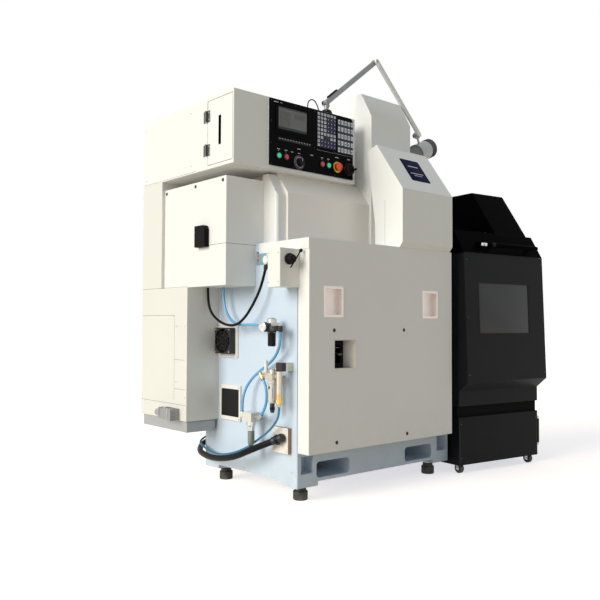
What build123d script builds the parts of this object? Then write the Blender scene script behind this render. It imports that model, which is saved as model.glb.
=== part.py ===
"""Compact vertical lathe: cast bed, sheet covers, swing-out control box, air units and a rolling chip unit."""
from build123d import *
import os
from math import atan2, cos, degrees, pi, radians, sin, tan

os.makedirs("parts", exist_ok=True)

# Places are measured from the underside of the front left foot: X to the right, Y to the back, Z up.
clearance = 0.4          # running gap round anything that turns or slides
sheet = 3                # thickness of the folded covers

# Cast bed and its feet
foot_inset_x = 78
foot_inset_y = 68
foot_radius = 32
foot_neck_radius = 25
foot_base_height = 40
stud_radius = 8
stud_depth = 45
ground_gap = 65
bed_width = 1011
bed_depth = 686
bed_height = 1043
bed_corner = 6
pad_length = 118
pad_relief = 18
fork_width = 198
fork_height = 68
fork_centres = (208, 777)
fork_above_bed = 32
pocket_inset = 22
pocket_width = 69
pocket_height = 73
pocket_depth = 60
pocket_above_bed = 57
bed_left = -foot_inset_x
bed_front = -foot_inset_y
bed_right = bed_left + bed_width
bed_back = bed_front + bed_depth
bed_top = ground_gap + bed_height

# Front cover, its breaker and its flush pulls
cover_proud = 72
cover_width = 950
cover_bottom = 214
cover_skirt = 46
cover_wrap = 264
cap_depth = 240
breaker_opening_width = 127
breaker_opening_height = 121
breaker_opening_left = 144
breaker_opening_bottom = 563
breaker_width = 64
breaker_depth = 58
lever_width = 26
lever_height = 62
lever_depth = 16
lever_swing = 35
pull_width = 114
pull_height = 132
pull_pocket = 26
pull_rim = 9
pull_lefts = (82, 725)
pull_bottom = 781
breaker_left = bed_left + breaker_opening_left
cover_left = bed_left
cover_right = cover_left + cover_width
cover_front = bed_front - cover_proud
cover_top = bed_top + sheet

# Sloped covers on top of the bed
hood_left_inset = 98
hood_width = 526
hood_front_inset = 183
hood_knee = 1343
hood_slope_run = 80
hood_back_inset = 812
column_width = 296
column_front_inset = 168
column_knee = 1789
column_top = 1917
column_slope_run = 70
column_roof = 261
column_back_height = 1500
badge_left_inset = 561
badge_width = 374
badge_proud = 18
badge_chamfer = 24
badge_knee = 1385
badge_top = 1617
badge_slope_run = 165
badge_side_back = 135
badge_side_low_back = 84
badge_side_low = 1233
badge_neck_left = 664
hood_left = bed_left + hood_left_inset
hood_front = bed_front + hood_front_inset
hood_back = bed_front + hood_back_inset
column_left = hood_left + hood_width
column_right = column_left + column_width
column_front = bed_front + column_front_inset

# Headstock cover on the left end
headstock_overhang = 163
headstock_front_inset = 292
headstock_bottom = 921
headstock_top = 1403
strip_width = 53
strip_front_inset = 198
strip_knee = 1330
strip_top = 1432
headstock_left = bed_left - headstock_overhang
headstock_front = bed_front + headstock_front_inset
strip_front = bed_front + strip_front_inset
boot_width = 84
boot_height = 98
boot_depth = 26
boot_centre_inset = 466
boot_bottom = 1098

# Control box, its door and its panel
box_overhang = 179
box_width = 739
box_front_inset = 219
box_depth = 779
box_height = 324
box_corner = 4
door_front_gap = 9
door_width = 188
door_height = 288
door_gap = 2
door_swing = 110
hinge_radius = 6
hinge_pin = 2.4
hinge_height = 52
knuckle_height = 17
hinge_leaf = 25
hinge_offset = 42
grip_width = 16
grip_height = 128
panel_left_inset = 14
panel_width = 524
panel_height = 302
panel_thickness = 8
panel_corner = 22
panel_rise = 18
panel_back = 70
screen_width = 172
screen_height = 102
screen_left = 48
screen_rise = 171
screen_recess = 4
box_bottom = hood_top = 1444
box_top = box_bottom + box_height
box_left = bed_left - box_overhang
box_right = box_left + box_width
box_front = bed_front + box_front_inset
box_back = box_front + box_depth
panel_left = bed_left + panel_left_inset
panel_bottom = box_bottom + panel_rise
panel_face = box_front - panel_thickness

# Keys, buttons and knobs on the panel, from the panel's lower left corner
key_mat = 0.8
key_proud = 2.6
softkey_columns = 12
softkey_pitch = 16.5
softkey_size = (10, 7)
softkey_left = 50
softkey_rise = 125
letter_columns = 6
letter_rows = 9
letter_pitch = (20.6, 18.6)
letter_size = (15, 13.5)
letter_left = 286
letter_rise = 137
function_columns = 5
function_rows = 5
function_pitch = (21.6, 34)
function_size = (16, 22)
function_left = 419
function_rise = 134
button_radius = 11
button_ring = 15
button_ring_proud = 4
button_cap = 5
button_travel = 4
button_stem = 6
button_stem_length = 30
button_rise = 47
start_place = 50
stop_place = 94
hold_place = 316
cycle_place = 357
estop_place = 414
estop_radius = 20
estop_cap = 13
estop_travel = 6
estop_ring = 30
knob_place = 172
knob_radius = 23
knob_length = 24
knob_rise = 34
wheel_place = 494
wheel_radius = 27
wheel_length = 16
crank_radius = 5
crank_length = 20

# Rear cabinet with its tray and connector
cabinet_bottom = 300
cabinet_depth = 186
wing_front_inset = 575
tray_height = 53
tray_inset = 10
connector_length = 118
connector_width = 46
connector_height = 48
gland_radius = 17
gland_length = 46
cabinet_back = box_back
cabinet_front = cabinet_back - cabinet_depth

# Fittings on the left end of the bed
junction_width = 106
junction_depth = 82
junction_height = 161
junction_front_inset = -10
junction_bottom = 905
switch_radius = 24
switch_length = 26
switch_lever = 92
sender_radius = 18
sender_reach = 58
sender_inset = 150
sender_height = 1028
sender_tilt = 20
sender_plug = 46
fan_size = 121
fan_thickness = 38
fan_plate = 156
fan_plate_thickness = 7
fan_centre_inset = 494
fan_centre_height = 673
fan_ring_radius = 57
fan_hub_radius = 20
fan_blades = 7
fan_shaft_radius = 4
fan_shaft_length = 16
fan_spokes = 8
guard_bar = 3
vent_width = 160
vent_height = 162
vent_open_width = 138
vent_open_height = 127
vent_proud = 9
vent_centre_inset = 470
vent_centre_height = 386
vent_ribs = 9
plate_width = 103
plate_height = 108
plate_proud = 20
plate_front_inset = 37
plate_bottom = 206
rear_box_left = 330
rear_box_width = 110
rear_box_depth = 115
rear_box_height = 150
rear_box_bottom = 125

# Air units
unit_reach = 60
bracket = 5
regulator_inset = 98
regulator_height = 741
regulator_knob_radius = 17
regulator_knob_drop = 27
regulator_knob_length = 57
filter_inset = 92
filter_height = 546
filter_bowl_radius = 18
mist_inset = 238
mist_height = 350
mist_bowl_radius = 15

# Work lamp on the control box
lamp_inset_x = 400
lamp_plane = 255
lamp_base_radius = 28
lamp_base_height = 22
lamp_shoulder = 1830
lamp_elbow_run = 344
lamp_elbow = 2111
lamp_wrist_run = 337
lamp_wrist = 1789
arm_width = 25
arm_thickness = 12
lamp_head_radius = 50
lamp_head_length = 138
lamp_head_drop = 92
lamp_head_tilt = 24
lamp_x = bed_left + lamp_inset_x
lamp_y = bed_front + lamp_plane

# Rolling chip unit beside the right end
unit_turn = 7.5
unit_gap = 5
unit_forward = 65
unit_x = max(bed_right, cover_right) + unit_gap
unit_y = bed_front - unit_forward
unit_width = 602
unit_depth = 690
unit_floor = 45
tank_top = 285
gap_recess = 14
gap_top = 340
belly_low = 415
belly_proud = 62
belly_knee = 466
belly_top_proud = 37
belly_top = 1114
lid_front = 35
lid_step = 1237
lid_gap = 3
lid_seat = 0.3
lid_drop = 30
lid_hinge_radius = 6
lid_hinge_stand = 6.5
lid_hinge_length = 60
lid_hinge_left_inset = 110
lid_hinge_right_inset = 112
lid_hinges = (lid_hinge_left_inset, unit_width - lid_hinge_right_inset - lid_hinge_length)
lid_roof = 1240
lid_shelf = 65
hatch_width = 250
hatch_left = unit_width - hatch_width
hatch_slope_run = 236
hatch_top = 1492
window_left = 98
window_width = 384
window_bottom = 706
window_height = 262
window_recess = 6
bar_right_inset = 72
bar_length = 330
bar_left = unit_width - bar_right_inset - bar_length
bar_radius = 11
bar_rise = 49
bar_height = belly_top + bar_rise
bar_proud = 30
bar_stand_inset = 14
bar_behind_lid = 60
bar_post_sunk = 34
catch_left = 118
catch_width = 54
catch_depth = 46
catch_height = 22
grip_bar_radius = 9
grip_bar_proud = 34
grip_bar_low = 92
grip_bar_high = 250
grip_bar_back = 30
lid_opening = 40
roll_out = 300

# Casters
caster_wheel_radius = 25
caster_wheel_width = 20
caster_trail = 12
caster_back = 48
caster_inset = 38
caster_lefts = (caster_inset, unit_width - caster_inset)
caster_stem = 6
caster_socket = 14
fork_wall = 3
axle_radius = 4
rear_wheel_back = 620
skirt_height = 35
skirt = 5

# Working parts inside the covers
spindle_inset_x = 772
spindle_inset_y = 400
spindle_rise = 82
spindle_base = bed_top + spindle_rise
spindle_housing_radius = 92
spindle_shaft_radius = 45
chuck_radius = 80
chuck_height = 62
jaw_height = 38
jaw_width = 24
inner_column_front = 560
inner_column_depth = 120
inner_column_width = 250
inner_column_height = 542
inner_column_top = bed_top + inner_column_height
rail_foot = 120
rail_end_gap = 20
feed_screw_radius = 7
feed_screw_proud = 12
screw_bearing_width = 48
screw_bearing_height = 30
rail_width = 28
rail_depth = 22
rail_spacing = 160
saddle_rise = 322
saddle_bottom = bed_top + saddle_rise
saddle_inset = 10
groove_inset = 30
groove_width = 20
groove_depth = 12
saddle_height = 190
saddle_depth = 40
slide_depth = 34
slide_height = 130
slide_width = 190
turret_radius = 70
turret_depth = 60
turret_stations = 8
tool_reach = 18
z_travel_down = 80
z_travel_up = 60
x_travel = 25


# Directions that several pieces share
upward = (0, 0, 1)
down = (0, 0, -1)
outward = (-1, 0, 0)
toward_user = (0, -1, 0)
lower_end = (Align.CENTER, Align.CENTER, Align.MIN)


def block(x, y, z, frame=Plane.XY, mode=Mode.ADD):
    """Add a straight block that runs between the two ends given for each direction of the frame."""
    centre = Location(((x[0] + x[1]) / 2, (y[0] + y[1]) / 2, (z[0] + z[1]) / 2))
    with Locations(frame.location * centre):
        Box(x[1] - x[0], y[1] - y[0], z[1] - z[0], mode=mode)


def turn(profile, origin, along, mode=Mode.ADD):
    """Turn a closed profile of (radius, distance) points about the line through origin."""
    axis = Vector(*along).normalized()
    helper = Vector(0, 0, 1) if abs(axis.Z) < 0.9 else Vector(1, 0, 0)
    radial = axis.cross(helper).normalized()
    with BuildSketch(Plane(origin=origin, x_dir=radial, z_dir=radial.cross(axis))) as section:
        with BuildLine():
            Polyline(*profile, close=True)
        make_face()
    revolve(section.sketch, axis=Axis(origin, axis), mode=mode)


def side_profile(points, start, width, frame=Plane.YZ, mode=Mode.ADD):
    """Extrude a closed side profile of (back, up) points from its left end to the right."""
    with BuildSketch(frame.offset(start)) as section:
        with BuildLine():
            Polyline(*points, close=True)
        make_face()
    extrude(section.sketch, amount=width, mode=mode)


def cord(points, diameter, name):
    """Lay a round cord through hand-chosen points, each corner rounded as far as its runs allow."""
    runs = [Vector(*b) - Vector(*a) for a, b in zip(points, points[1:])]
    radii = []
    for before, after in zip(runs, runs[1:]):
        half_turn = radians(before.get_angle(after)) / 2
        radii.append(0.45 * min(before.length, after.length) / tan(half_turn))
    with BuildPart() as tube:
        with BuildLine() as route:
            FilletPolyline(*points, radius=radii)
        course = route.wire()
        with BuildSketch(Plane(origin=course @ 0, z_dir=course % 0)):
            Circle(diameter / 2)
        sweep()
    length = course.length
    ideal = pi * diameter**2 / 4 * length
    print(f"{name}: {length:.0f} mm long, tightest radius {min(radii):.0f},",
          f"longest run {max(run.length for run in runs):.0f}, volume ratio {tube.part.volume / ideal:.4f}")
    return tube.part


# Cast bed: solid box casting on four pads, two fork channels through it and a pocket at each corner
bed_middle = ((bed_left + bed_right) / 2, (bed_front + bed_back) / 2)
foot_places = [
    (x, y)
    for x in (bed_left + foot_inset_x, bed_right - foot_inset_x)
    for y in (bed_front + foot_inset_y, bed_back - foot_inset_y)
]
with BuildPart() as bed_casting:
    with BuildSketch(Plane.XY.offset(ground_gap)):
        with Locations(bed_middle):
            RectangleRounded(bed_width, bed_depth, bed_corner)
    extrude(amount=bed_height)
    with BuildSketch(Plane.XY.offset(ground_gap)):
        with Locations(bed_middle):
            Rectangle(bed_width, bed_depth - 2 * pad_length)
            Rectangle(bed_width - 2 * pad_length, bed_depth)
    extrude(amount=pad_relief, mode=Mode.SUBTRACT)
    with BuildSketch(Plane.XZ.offset(-bed_front)):
        for fork_centre in fork_centres:
            with Locations((bed_left + fork_centre, ground_gap + fork_above_bed + fork_height / 2)):
                RectangleRounded(fork_width, fork_height, fork_height / 4)
    extrude(amount=-bed_depth, mode=Mode.SUBTRACT)
    for pocket_side in (bed_left + pocket_inset, bed_right - pocket_inset - pocket_width):
        for face_start, face_end in ((bed_front, bed_front + pocket_depth), (bed_back - pocket_depth, bed_back)):
            pocket_low = ground_gap + pocket_above_bed
            block((pocket_side, pocket_side + pocket_width), (face_start, face_end),
                  (pocket_low, pocket_low + pocket_height), mode=Mode.SUBTRACT)
    with Locations(*[(x, y, ground_gap) for x, y in foot_places]):
        Cylinder(stud_radius + clearance, stud_depth, align=lower_end, mode=Mode.SUBTRACT)
bed_casting.part.label = "bed_casting"
export_step(bed_casting.part, "parts/bed_casting.step")

# Levelling feet: rubber mounts with a bonded stud that screws up into each pad
with BuildPart() as levelling_feet:
    for x, y in foot_places:
        turn([(0, 0), (foot_radius - 3, 0), (foot_radius, 3), (foot_radius, foot_base_height - 4),
              (foot_radius - 4, foot_base_height), (foot_neck_radius, foot_base_height),
              (foot_neck_radius, ground_gap), (stud_radius, ground_gap),
              (stud_radius, ground_gap + stud_depth - 5), (0, ground_gap + stud_depth - 5)],
             (x, y, 0), (0, 0, 1))
levelling_feet.part.label = "levelling_feet"
export_step(levelling_feet.part, "parts/levelling_feet.step")

# Front cover: one folded sheet with a return on each side, a cap over the bed and a short skirt
with BuildPart() as front_cover:
    block((cover_left, cover_right), (cover_front, cover_front + sheet), (cover_bottom, cover_top))
    block((cover_left, cover_right), (cover_front, cover_front + cap_depth), (bed_top, cover_top))
    for side in (cover_left, cover_right - sheet):
        block((side, side + sheet), (cover_front, bed_front), (cover_bottom, cover_top))
    block((cover_left - sheet, cover_left), (cover_front, bed_front + cover_wrap),
          (cover_top - cover_skirt, cover_top))
    block((breaker_left, breaker_left + breaker_opening_width), (cover_front, cover_front + sheet),
          (breaker_opening_bottom, breaker_opening_bottom + breaker_opening_height), mode=Mode.SUBTRACT)
    for pull_left in pull_lefts:
        block((bed_left + pull_left + pull_rim, bed_left + pull_left + pull_width - pull_rim),
              (cover_front, cover_front + sheet),
              (pull_bottom + pull_rim, pull_bottom + pull_height - pull_rim), mode=Mode.SUBTRACT)
front_cover.part.label = "front_cover"
export_step(front_cover.part, "parts/front_cover.step")

# Circuit breaker on the bed, seen through the opening, with a lever that swings up and down
breaker_middle_x = breaker_left + breaker_width / 2 + 2
breaker_middle_z = breaker_opening_bottom + breaker_opening_height / 2
lever_gap = lever_height + 14
with BuildPart() as breaker:
    block((breaker_left + 2, breaker_left + 2 + breaker_width), (bed_front - breaker_depth, bed_front),
          (breaker_opening_bottom - 4, breaker_opening_bottom + breaker_opening_height + 4))
    block((breaker_middle_x - lever_width / 2 - 2, breaker_middle_x + lever_width / 2 + 2),
          (bed_front - breaker_depth, bed_front - breaker_depth + lever_depth + 6),
          (breaker_middle_z - lever_gap / 2, breaker_middle_z + lever_gap / 2), mode=Mode.SUBTRACT)
breaker.part.label = "breaker"
export_step(breaker.part, "parts/breaker.step")

lever_pivot_y = bed_front - breaker_depth + lever_depth - 2
with BuildPart() as breaker_lever:
    with BuildSketch(Plane.YZ.offset(breaker_middle_x - lever_width / 2)):
        with Locations((lever_pivot_y, breaker_middle_z)):
            Circle(lever_depth / 2 - 1)
        with Locations((lever_pivot_y - lever_depth * 0.9, breaker_middle_z)):
            Rectangle(lever_depth * 1.8, lever_depth / 2)
    extrude(amount=lever_width)
    with BuildSketch(Plane.YZ.offset(breaker_middle_x)):
        with Locations((lever_pivot_y, breaker_middle_z)):
            Circle(axle_radius / 2)
    extrude(amount=lever_width / 2 + 2, both=True)
breaker_lever.part.label = "breaker_lever"
export_step(breaker_lever.part, "parts/breaker_lever.step")

# Flush pulls: a pressed cup with a flat rim for the fingers
with BuildPart() as pull_cups:
    for pull_left in pull_lefts:
        cup_left = bed_left + pull_left
        block((cup_left, cup_left + pull_width), (cover_front - 2, cover_front),
              (pull_bottom, pull_bottom + pull_height))
        block((cup_left + pull_rim + 0.5, cup_left + pull_width - pull_rim - 0.5),
              (cover_front, cover_front + pull_pocket),
              (pull_bottom + pull_rim + 0.5, pull_bottom + pull_height - pull_rim - 0.5))
        block((cup_left + pull_rim + 2, cup_left + pull_width - pull_rim - 2),
              (cover_front - 2, cover_front + pull_pocket - 2),
              (pull_bottom + pull_rim + 2, pull_bottom + pull_height - pull_rim - 2), mode=Mode.SUBTRACT)
pull_cups.part.label = "pull_cups"
export_step(pull_cups.part, "parts/pull_cups.step")

# Front hood: the sloped cover between the headstock and the column, open underneath
hood_outline = [
    (hood_front, bed_top), (hood_front, hood_knee), (hood_front + hood_slope_run, hood_top),
    (hood_back, hood_top), (hood_back, bed_top),
]
with BuildPart() as front_hood:
    side_profile(hood_outline, hood_left, hood_width)
    offset(amount=-sheet, openings=front_hood.faces().sort_by(Axis.Z)[0])
front_hood.part.label = "front_hood"
export_step(front_hood.part, "parts/front_hood.step")

# Column cover: the tall sloped cover over the working slides, open underneath
column_outline = [
    (column_front, bed_top), (column_front, column_knee),
    (column_front + column_slope_run, column_top),
    (column_front + column_slope_run + column_roof, column_top),
    (hood_back, column_back_height), (hood_back, bed_top),
]
with BuildPart() as column_cover:
    side_profile(column_outline, column_left, column_width)
    offset(amount=-sheet, openings=column_cover.faces().sort_by(Axis.Z)[0])
column_cover.part.label = "column_cover"
export_step(column_cover.part, "parts/column_cover.step")

# Badge cover: the cover that stands forward of the column on a narrower neck
badge_left = bed_left + badge_left_inset
badge_face = cover_front - badge_proud
badge_outline = [
    (cover_front, cover_top), (badge_face, cover_top + badge_chamfer), (badge_face, badge_knee),
    (badge_face + badge_slope_run, badge_top), (bed_front + badge_side_back, badge_top - sheet * 8),
    (bed_front + badge_side_low_back, badge_side_low), (bed_front + badge_side_low_back, cover_top),
]
badge_neck = [
    (bed_front + badge_side_low_back - sheet, cover_top), (badge_face + badge_slope_run - sheet, badge_top),
    (column_front, badge_top), (column_front, cover_top),
]
with BuildPart() as badge_cover:
    side_profile(badge_outline, badge_left, badge_width)
    side_profile(badge_neck, bed_left + badge_neck_left, column_right - bed_left - badge_neck_left)
badge_cover.part.label = "badge_cover"
export_step(badge_cover.part, "parts/badge_cover.step")

# Headstock cover: hangs over the left end of the bed, with a rounded strip that meets the hood
headstock_outline = [
    (headstock_left, headstock_bottom), (headstock_left, headstock_top), (hood_left, headstock_top),
    (hood_left, bed_top), (bed_left, bed_top), (bed_left, headstock_bottom),
]
strip_outline = [
    (strip_front, bed_top), (strip_front, strip_knee), (strip_front + 64, strip_top),
    (headstock_front + 10, strip_top), (headstock_front + 10, bed_top),
]
with BuildPart() as headstock_cover:
    with BuildSketch(Plane.XZ.offset(-headstock_front)):
        with BuildLine():
            Polyline(*headstock_outline, close=True)
        make_face()
    extrude(amount=headstock_front - hood_back)
    offset(amount=-sheet, openings=headstock_cover.faces().filter_by(Axis.Z).sort_by(Axis.Z)[1])
    side_profile(strip_outline, hood_left - strip_width, strip_width)
    strip_corner = headstock_cover.edges().filter_by(Axis.Z).sort_by(Axis.Y)[0:2].sort_by(Axis.X)[0]
    fillet(strip_corner, radius=16)
headstock_cover.part.label = "headstock_cover"
export_step(headstock_cover.part, "parts/headstock_cover.step")

# Rubber boot on the headstock cover, rounded over its upper front corner
boot_front = bed_front + boot_centre_inset - boot_width / 2
with BuildPart() as cable_boot:
    with BuildSketch(Plane.YZ.offset(headstock_left)):
        with Locations((boot_front + boot_width / 2, boot_bottom + boot_height / 2)):
            Rectangle(boot_width, boot_height)
    extrude(amount=-boot_depth)
    boot_edge = cable_boot.edges().filter_by(Axis.X).group_by(Axis.Z)[-1].sort_by(Axis.Y)[0]
    fillet(boot_edge, radius=22)
    fillet(cable_boot.faces().sort_by(Axis.X)[0].edges(), radius=5)
cable_boot.part.label = "cable_boot"
export_step(cable_boot.part, "parts/cable_boot.step")

# Control box: folded shell with a doorway in its left end and an opening for the panel
door_front = box_front + door_front_gap
door_bottom = box_bottom + (box_height - door_height) / 2
door_hinge_y = door_front + door_width + hinge_radius
hinge_heights = (door_bottom + hinge_offset, door_bottom + door_height - hinge_offset - hinge_height)
hinge_x = box_left - hinge_radius
slot_middle = door_front + door_width / 2
slot_low = box_bottom + (box_height - grip_height) / 2
with BuildPart() as nc_box:
    block((box_left, box_right), (box_front, box_back), (box_bottom, box_top))
    fillet(nc_box.edges().filter_by(Axis.Z), radius=box_corner)
    block((box_left + sheet, box_right - sheet), (box_front + sheet, box_back - sheet),
          (box_bottom + sheet, box_top - sheet), mode=Mode.SUBTRACT)
    block((box_left, box_left + sheet), (door_front - door_gap, door_front + door_width + door_gap),
          (door_bottom - door_gap, door_bottom + door_height + door_gap), mode=Mode.SUBTRACT)
    block((panel_left + 10, panel_left + panel_width - 10), (box_front, box_front + sheet),
          (panel_bottom + 10, panel_bottom + panel_height - 10), mode=Mode.SUBTRACT)
    for low in hinge_heights:
        block((box_left - sheet, box_left), (door_hinge_y, door_hinge_y + hinge_leaf),
              (low, low + hinge_height))
        block((box_left - sheet, box_left), (door_hinge_y, door_hinge_y + hinge_radius + clearance),
              (low + knuckle_height, low + hinge_height - knuckle_height), mode=Mode.SUBTRACT)
        with Locations((hinge_x, door_hinge_y, low)):
            Cylinder(hinge_radius, knuckle_height, align=lower_end)
            Cylinder(hinge_pin, hinge_height, align=lower_end)
        with Locations((hinge_x, door_hinge_y, low + hinge_height - knuckle_height)):
            Cylinder(hinge_radius, knuckle_height, align=lower_end)
nc_box.part.label = "nc_box"
export_step(nc_box.part, "parts/nc_box.step")

# Door of the control box, with a finger slot and the moving hinge leaves
with BuildPart() as nc_box_door:
    block((box_left, box_left + sheet), (door_front, door_front + door_width),
          (door_bottom, door_bottom + door_height))
    block((box_left, box_left + sheet), (slot_middle - grip_width / 2, slot_middle + grip_width / 2),
          (slot_low, slot_low + grip_height), mode=Mode.SUBTRACT)
    for low in hinge_heights:
        leaf_end = door_hinge_y - hinge_radius - clearance
        block((box_left - sheet, box_left), (leaf_end - hinge_leaf + 4, leaf_end),
              (low, low + hinge_height))
        middle = (low + knuckle_height + clearance, low + hinge_height - knuckle_height - clearance)
        block((box_left - sheet, box_left), (leaf_end - 1, door_hinge_y - clearance), middle)
        turn([(hinge_pin + clearance / 4, 0), (hinge_radius, 0), (hinge_radius, middle[1] - middle[0]),
              (hinge_pin + clearance / 4, middle[1] - middle[0])], (hinge_x, door_hinge_y, middle[0]), upward)
nc_box_door.part.label = "nc_box_door"
export_step(nc_box_door.part, "parts/nc_box_door.step")

# Control panel: black face plate with a screen recess, button rings and the case behind it
button_places = (start_place, stop_place, hold_place, cycle_place)
button_z = panel_bottom + button_rise
screen_low = panel_bottom + screen_rise
screen_x = (panel_left + screen_left, panel_left + screen_left + screen_width)
with BuildPart() as control_panel:
    with BuildSketch(Plane.XZ.offset(-box_front)):
        with Locations((panel_left + panel_width / 2, panel_bottom + panel_height / 2)):
            Rectangle(panel_width, panel_height)
    extrude(amount=panel_thickness)
    top_corner = control_panel.edges().filter_by(Axis.Y).group_by(Axis.Z)[-1].sort_by(Axis.X)[-1]
    fillet(top_corner, radius=panel_corner)
    block((panel_left + 12, panel_left + panel_width - 12), (box_front, box_front + panel_back),
          (panel_bottom + 12, panel_bottom + panel_height - 12))
    block((screen_x[0] - 16, screen_x[1] + 16), (panel_face - 3, panel_face),
          (screen_low - 24, screen_low + screen_height + 14))
    block(screen_x, (panel_face - 3, panel_face + screen_recess), (screen_low, screen_low + screen_height),
          mode=Mode.SUBTRACT)
    for place in button_places:
        turn([(button_radius + 1, 0), (button_ring, 0), (button_ring - 1, button_ring_proud),
              (button_radius + 1, button_ring_proud)],
             (panel_left + place, panel_face, button_z), toward_user)
        with Locations(Location((panel_left + place, panel_face, button_z), (90, 0, 0))):
            Cylinder(button_stem + clearance, 2 * (button_stem_length + button_travel + 4), mode=Mode.SUBTRACT)
    turn([(estop_radius - 4, 0), (estop_ring, 0), (estop_ring - 3, button_ring_proud),
          (estop_radius - 4, button_ring_proud)], (panel_left + estop_place, panel_face, button_z), toward_user)
    for place, rise in ((estop_place, button_rise), (knob_place, knob_rise), (wheel_place, button_rise)):
        with Locations(Location((panel_left + place, panel_face, panel_bottom + rise), (90, 0, 0))):
            Cylinder(button_stem + clearance, 2 * (button_stem_length + button_travel + 4), mode=Mode.SUBTRACT)
control_panel.part.label = "control_panel"
export_step(control_panel.part, "parts/control_panel.step")

# Screen glass in its recess
with BuildPart() as screen:
    block((screen_x[0] + 0.3, screen_x[1] - 0.3), (panel_face, panel_face + screen_recess),
          (screen_low + 0.3, screen_low + screen_height - 0.3))
screen.part.label = "screen"
export_step(screen.part, "parts/screen.step")

# Keypad: three moulded mats, each with its raised keys
with BuildPart() as keypad:
    for columns, rows, pitch, size, left, rise in (
        (softkey_columns, 1, (softkey_pitch, softkey_pitch), softkey_size, softkey_left, softkey_rise),
        (letter_columns, letter_rows, letter_pitch, letter_size, letter_left, letter_rise),
        (function_columns, function_rows, function_pitch, function_size, function_left, function_rise),
    ):
        middle_x = panel_left + left + (columns - 1) * pitch[0] / 2 + size[0] / 2
        middle_z = panel_bottom + rise + (rows - 1) * pitch[1] / 2
        with BuildSketch(Plane.XZ.offset(-panel_face)):
            with Locations((middle_x, middle_z)):
                Rectangle((columns - 1) * pitch[0] + size[0] + 4, (rows - 1) * pitch[1] + size[1] + 4)
        extrude(amount=key_mat)
        with BuildSketch(Plane.XZ.offset(-panel_face)):
            with Locations((middle_x, middle_z)):
                with GridLocations(pitch[0], pitch[1], columns, rows):
                    Rectangle(*size)
        extrude(amount=key_proud, taper=6)
keypad.part.label = "keypad"
export_step(keypad.part, "parts/keypad.step")


def push_button(place):
    """Make a round push button with its stem, out of its ring by its full travel."""
    with BuildPart() as button:
        rest = button_travel + 1
        turn([(0, -button_stem_length), (button_stem, -button_stem_length), (button_stem, rest),
              (button_radius, rest), (button_radius, rest + button_cap - 1.5),
              (button_radius - 1.5, rest + button_cap), (0, rest + button_cap)],
             (panel_left + place, panel_face, button_z), toward_user)
    return button.part


# Push buttons: green start, red stop, red hold and green cycle
for button_name, place in (("start_button", start_place), ("stop_button", stop_place),
                           ("hold_button", hold_place), ("cycle_button", cycle_place)):
    button_piece = push_button(place)
    button_piece.label = button_name
    export_step(button_piece, f"parts/{button_name}.step")

# Emergency stop with a mushroom head
with BuildPart() as emergency_stop:
    rest = button_ring_proud + estop_travel + 2
    turn([(0, -button_stem_length), (button_stem, -button_stem_length), (button_stem, rest),
          (estop_radius - 6, rest), (estop_radius, rest + 4), (estop_radius, rest + 8),
          (estop_radius - 5, rest + estop_cap), (0, rest + estop_cap + 2)],
         (panel_left + estop_place, panel_face, button_z), toward_user)
emergency_stop.part.label = "emergency_stop"
export_step(emergency_stop.part, "parts/emergency_stop.step")

# Rotary feed knob with a fluted skirt and a raised pointer
knob_z = panel_bottom + knob_rise
with BuildPart() as feed_knob:
    turn([(0, -button_stem_length), (button_stem, -button_stem_length), (button_stem, 1),
          (knob_radius, 1), (knob_radius, 6), (knob_radius - 6, 8), (knob_radius - 7, knob_length),
          (0, knob_length)], (panel_left + knob_place, panel_face, knob_z), toward_user)
    with BuildSketch(Plane.XZ.offset(-panel_face + 8)):
        with Locations((panel_left + knob_place, knob_z)):
            with PolarLocations(knob_radius - 6, 12):
                Circle(2.4)
    extrude(amount=knob_length - 8, mode=Mode.SUBTRACT)
    block((panel_left + knob_place - 2, panel_left + knob_place + 2),
          (panel_face - knob_length - 2, panel_face - knob_length), (knob_z, knob_z + knob_radius - 8))
feed_knob.part.label = "feed_knob"
export_step(feed_knob.part, "parts/feed_knob.step")

# Hand pulse wheel with a crank peg
with BuildPart() as handwheel:
    wheel_centre = (panel_left + wheel_place, panel_face, button_z)
    turn([(0, -button_stem_length), (button_stem, -button_stem_length), (button_stem, 1),
          (wheel_radius - 1, 1), (wheel_radius, 2), (wheel_radius, wheel_length - 2),
          (wheel_radius - 2, wheel_length), (wheel_radius - 6, wheel_length),
          (wheel_radius - 8, wheel_length - 4), (0, wheel_length - 4)], wheel_centre, toward_user)
    with BuildSketch(Plane.XZ.offset(-panel_face + 2)):
        with Locations((panel_left + wheel_place, button_z)):
            with PolarLocations(wheel_radius + 1, 20):
                Circle(2)
    extrude(amount=wheel_length - 4, mode=Mode.SUBTRACT)
    peg_x = panel_left + wheel_place + wheel_radius - 9
    turn([(0, wheel_length - 5), (crank_radius - 1, wheel_length - 5), (crank_radius, wheel_length + 2),
          (crank_radius + 1, wheel_length + crank_length - 3), (crank_radius - 1, wheel_length + crank_length),
          (0, wheel_length + crank_length)], (peg_x, panel_face, button_z), toward_user)
handwheel.part.label = "handwheel"
export_step(handwheel.part, "parts/handwheel.step")

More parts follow.
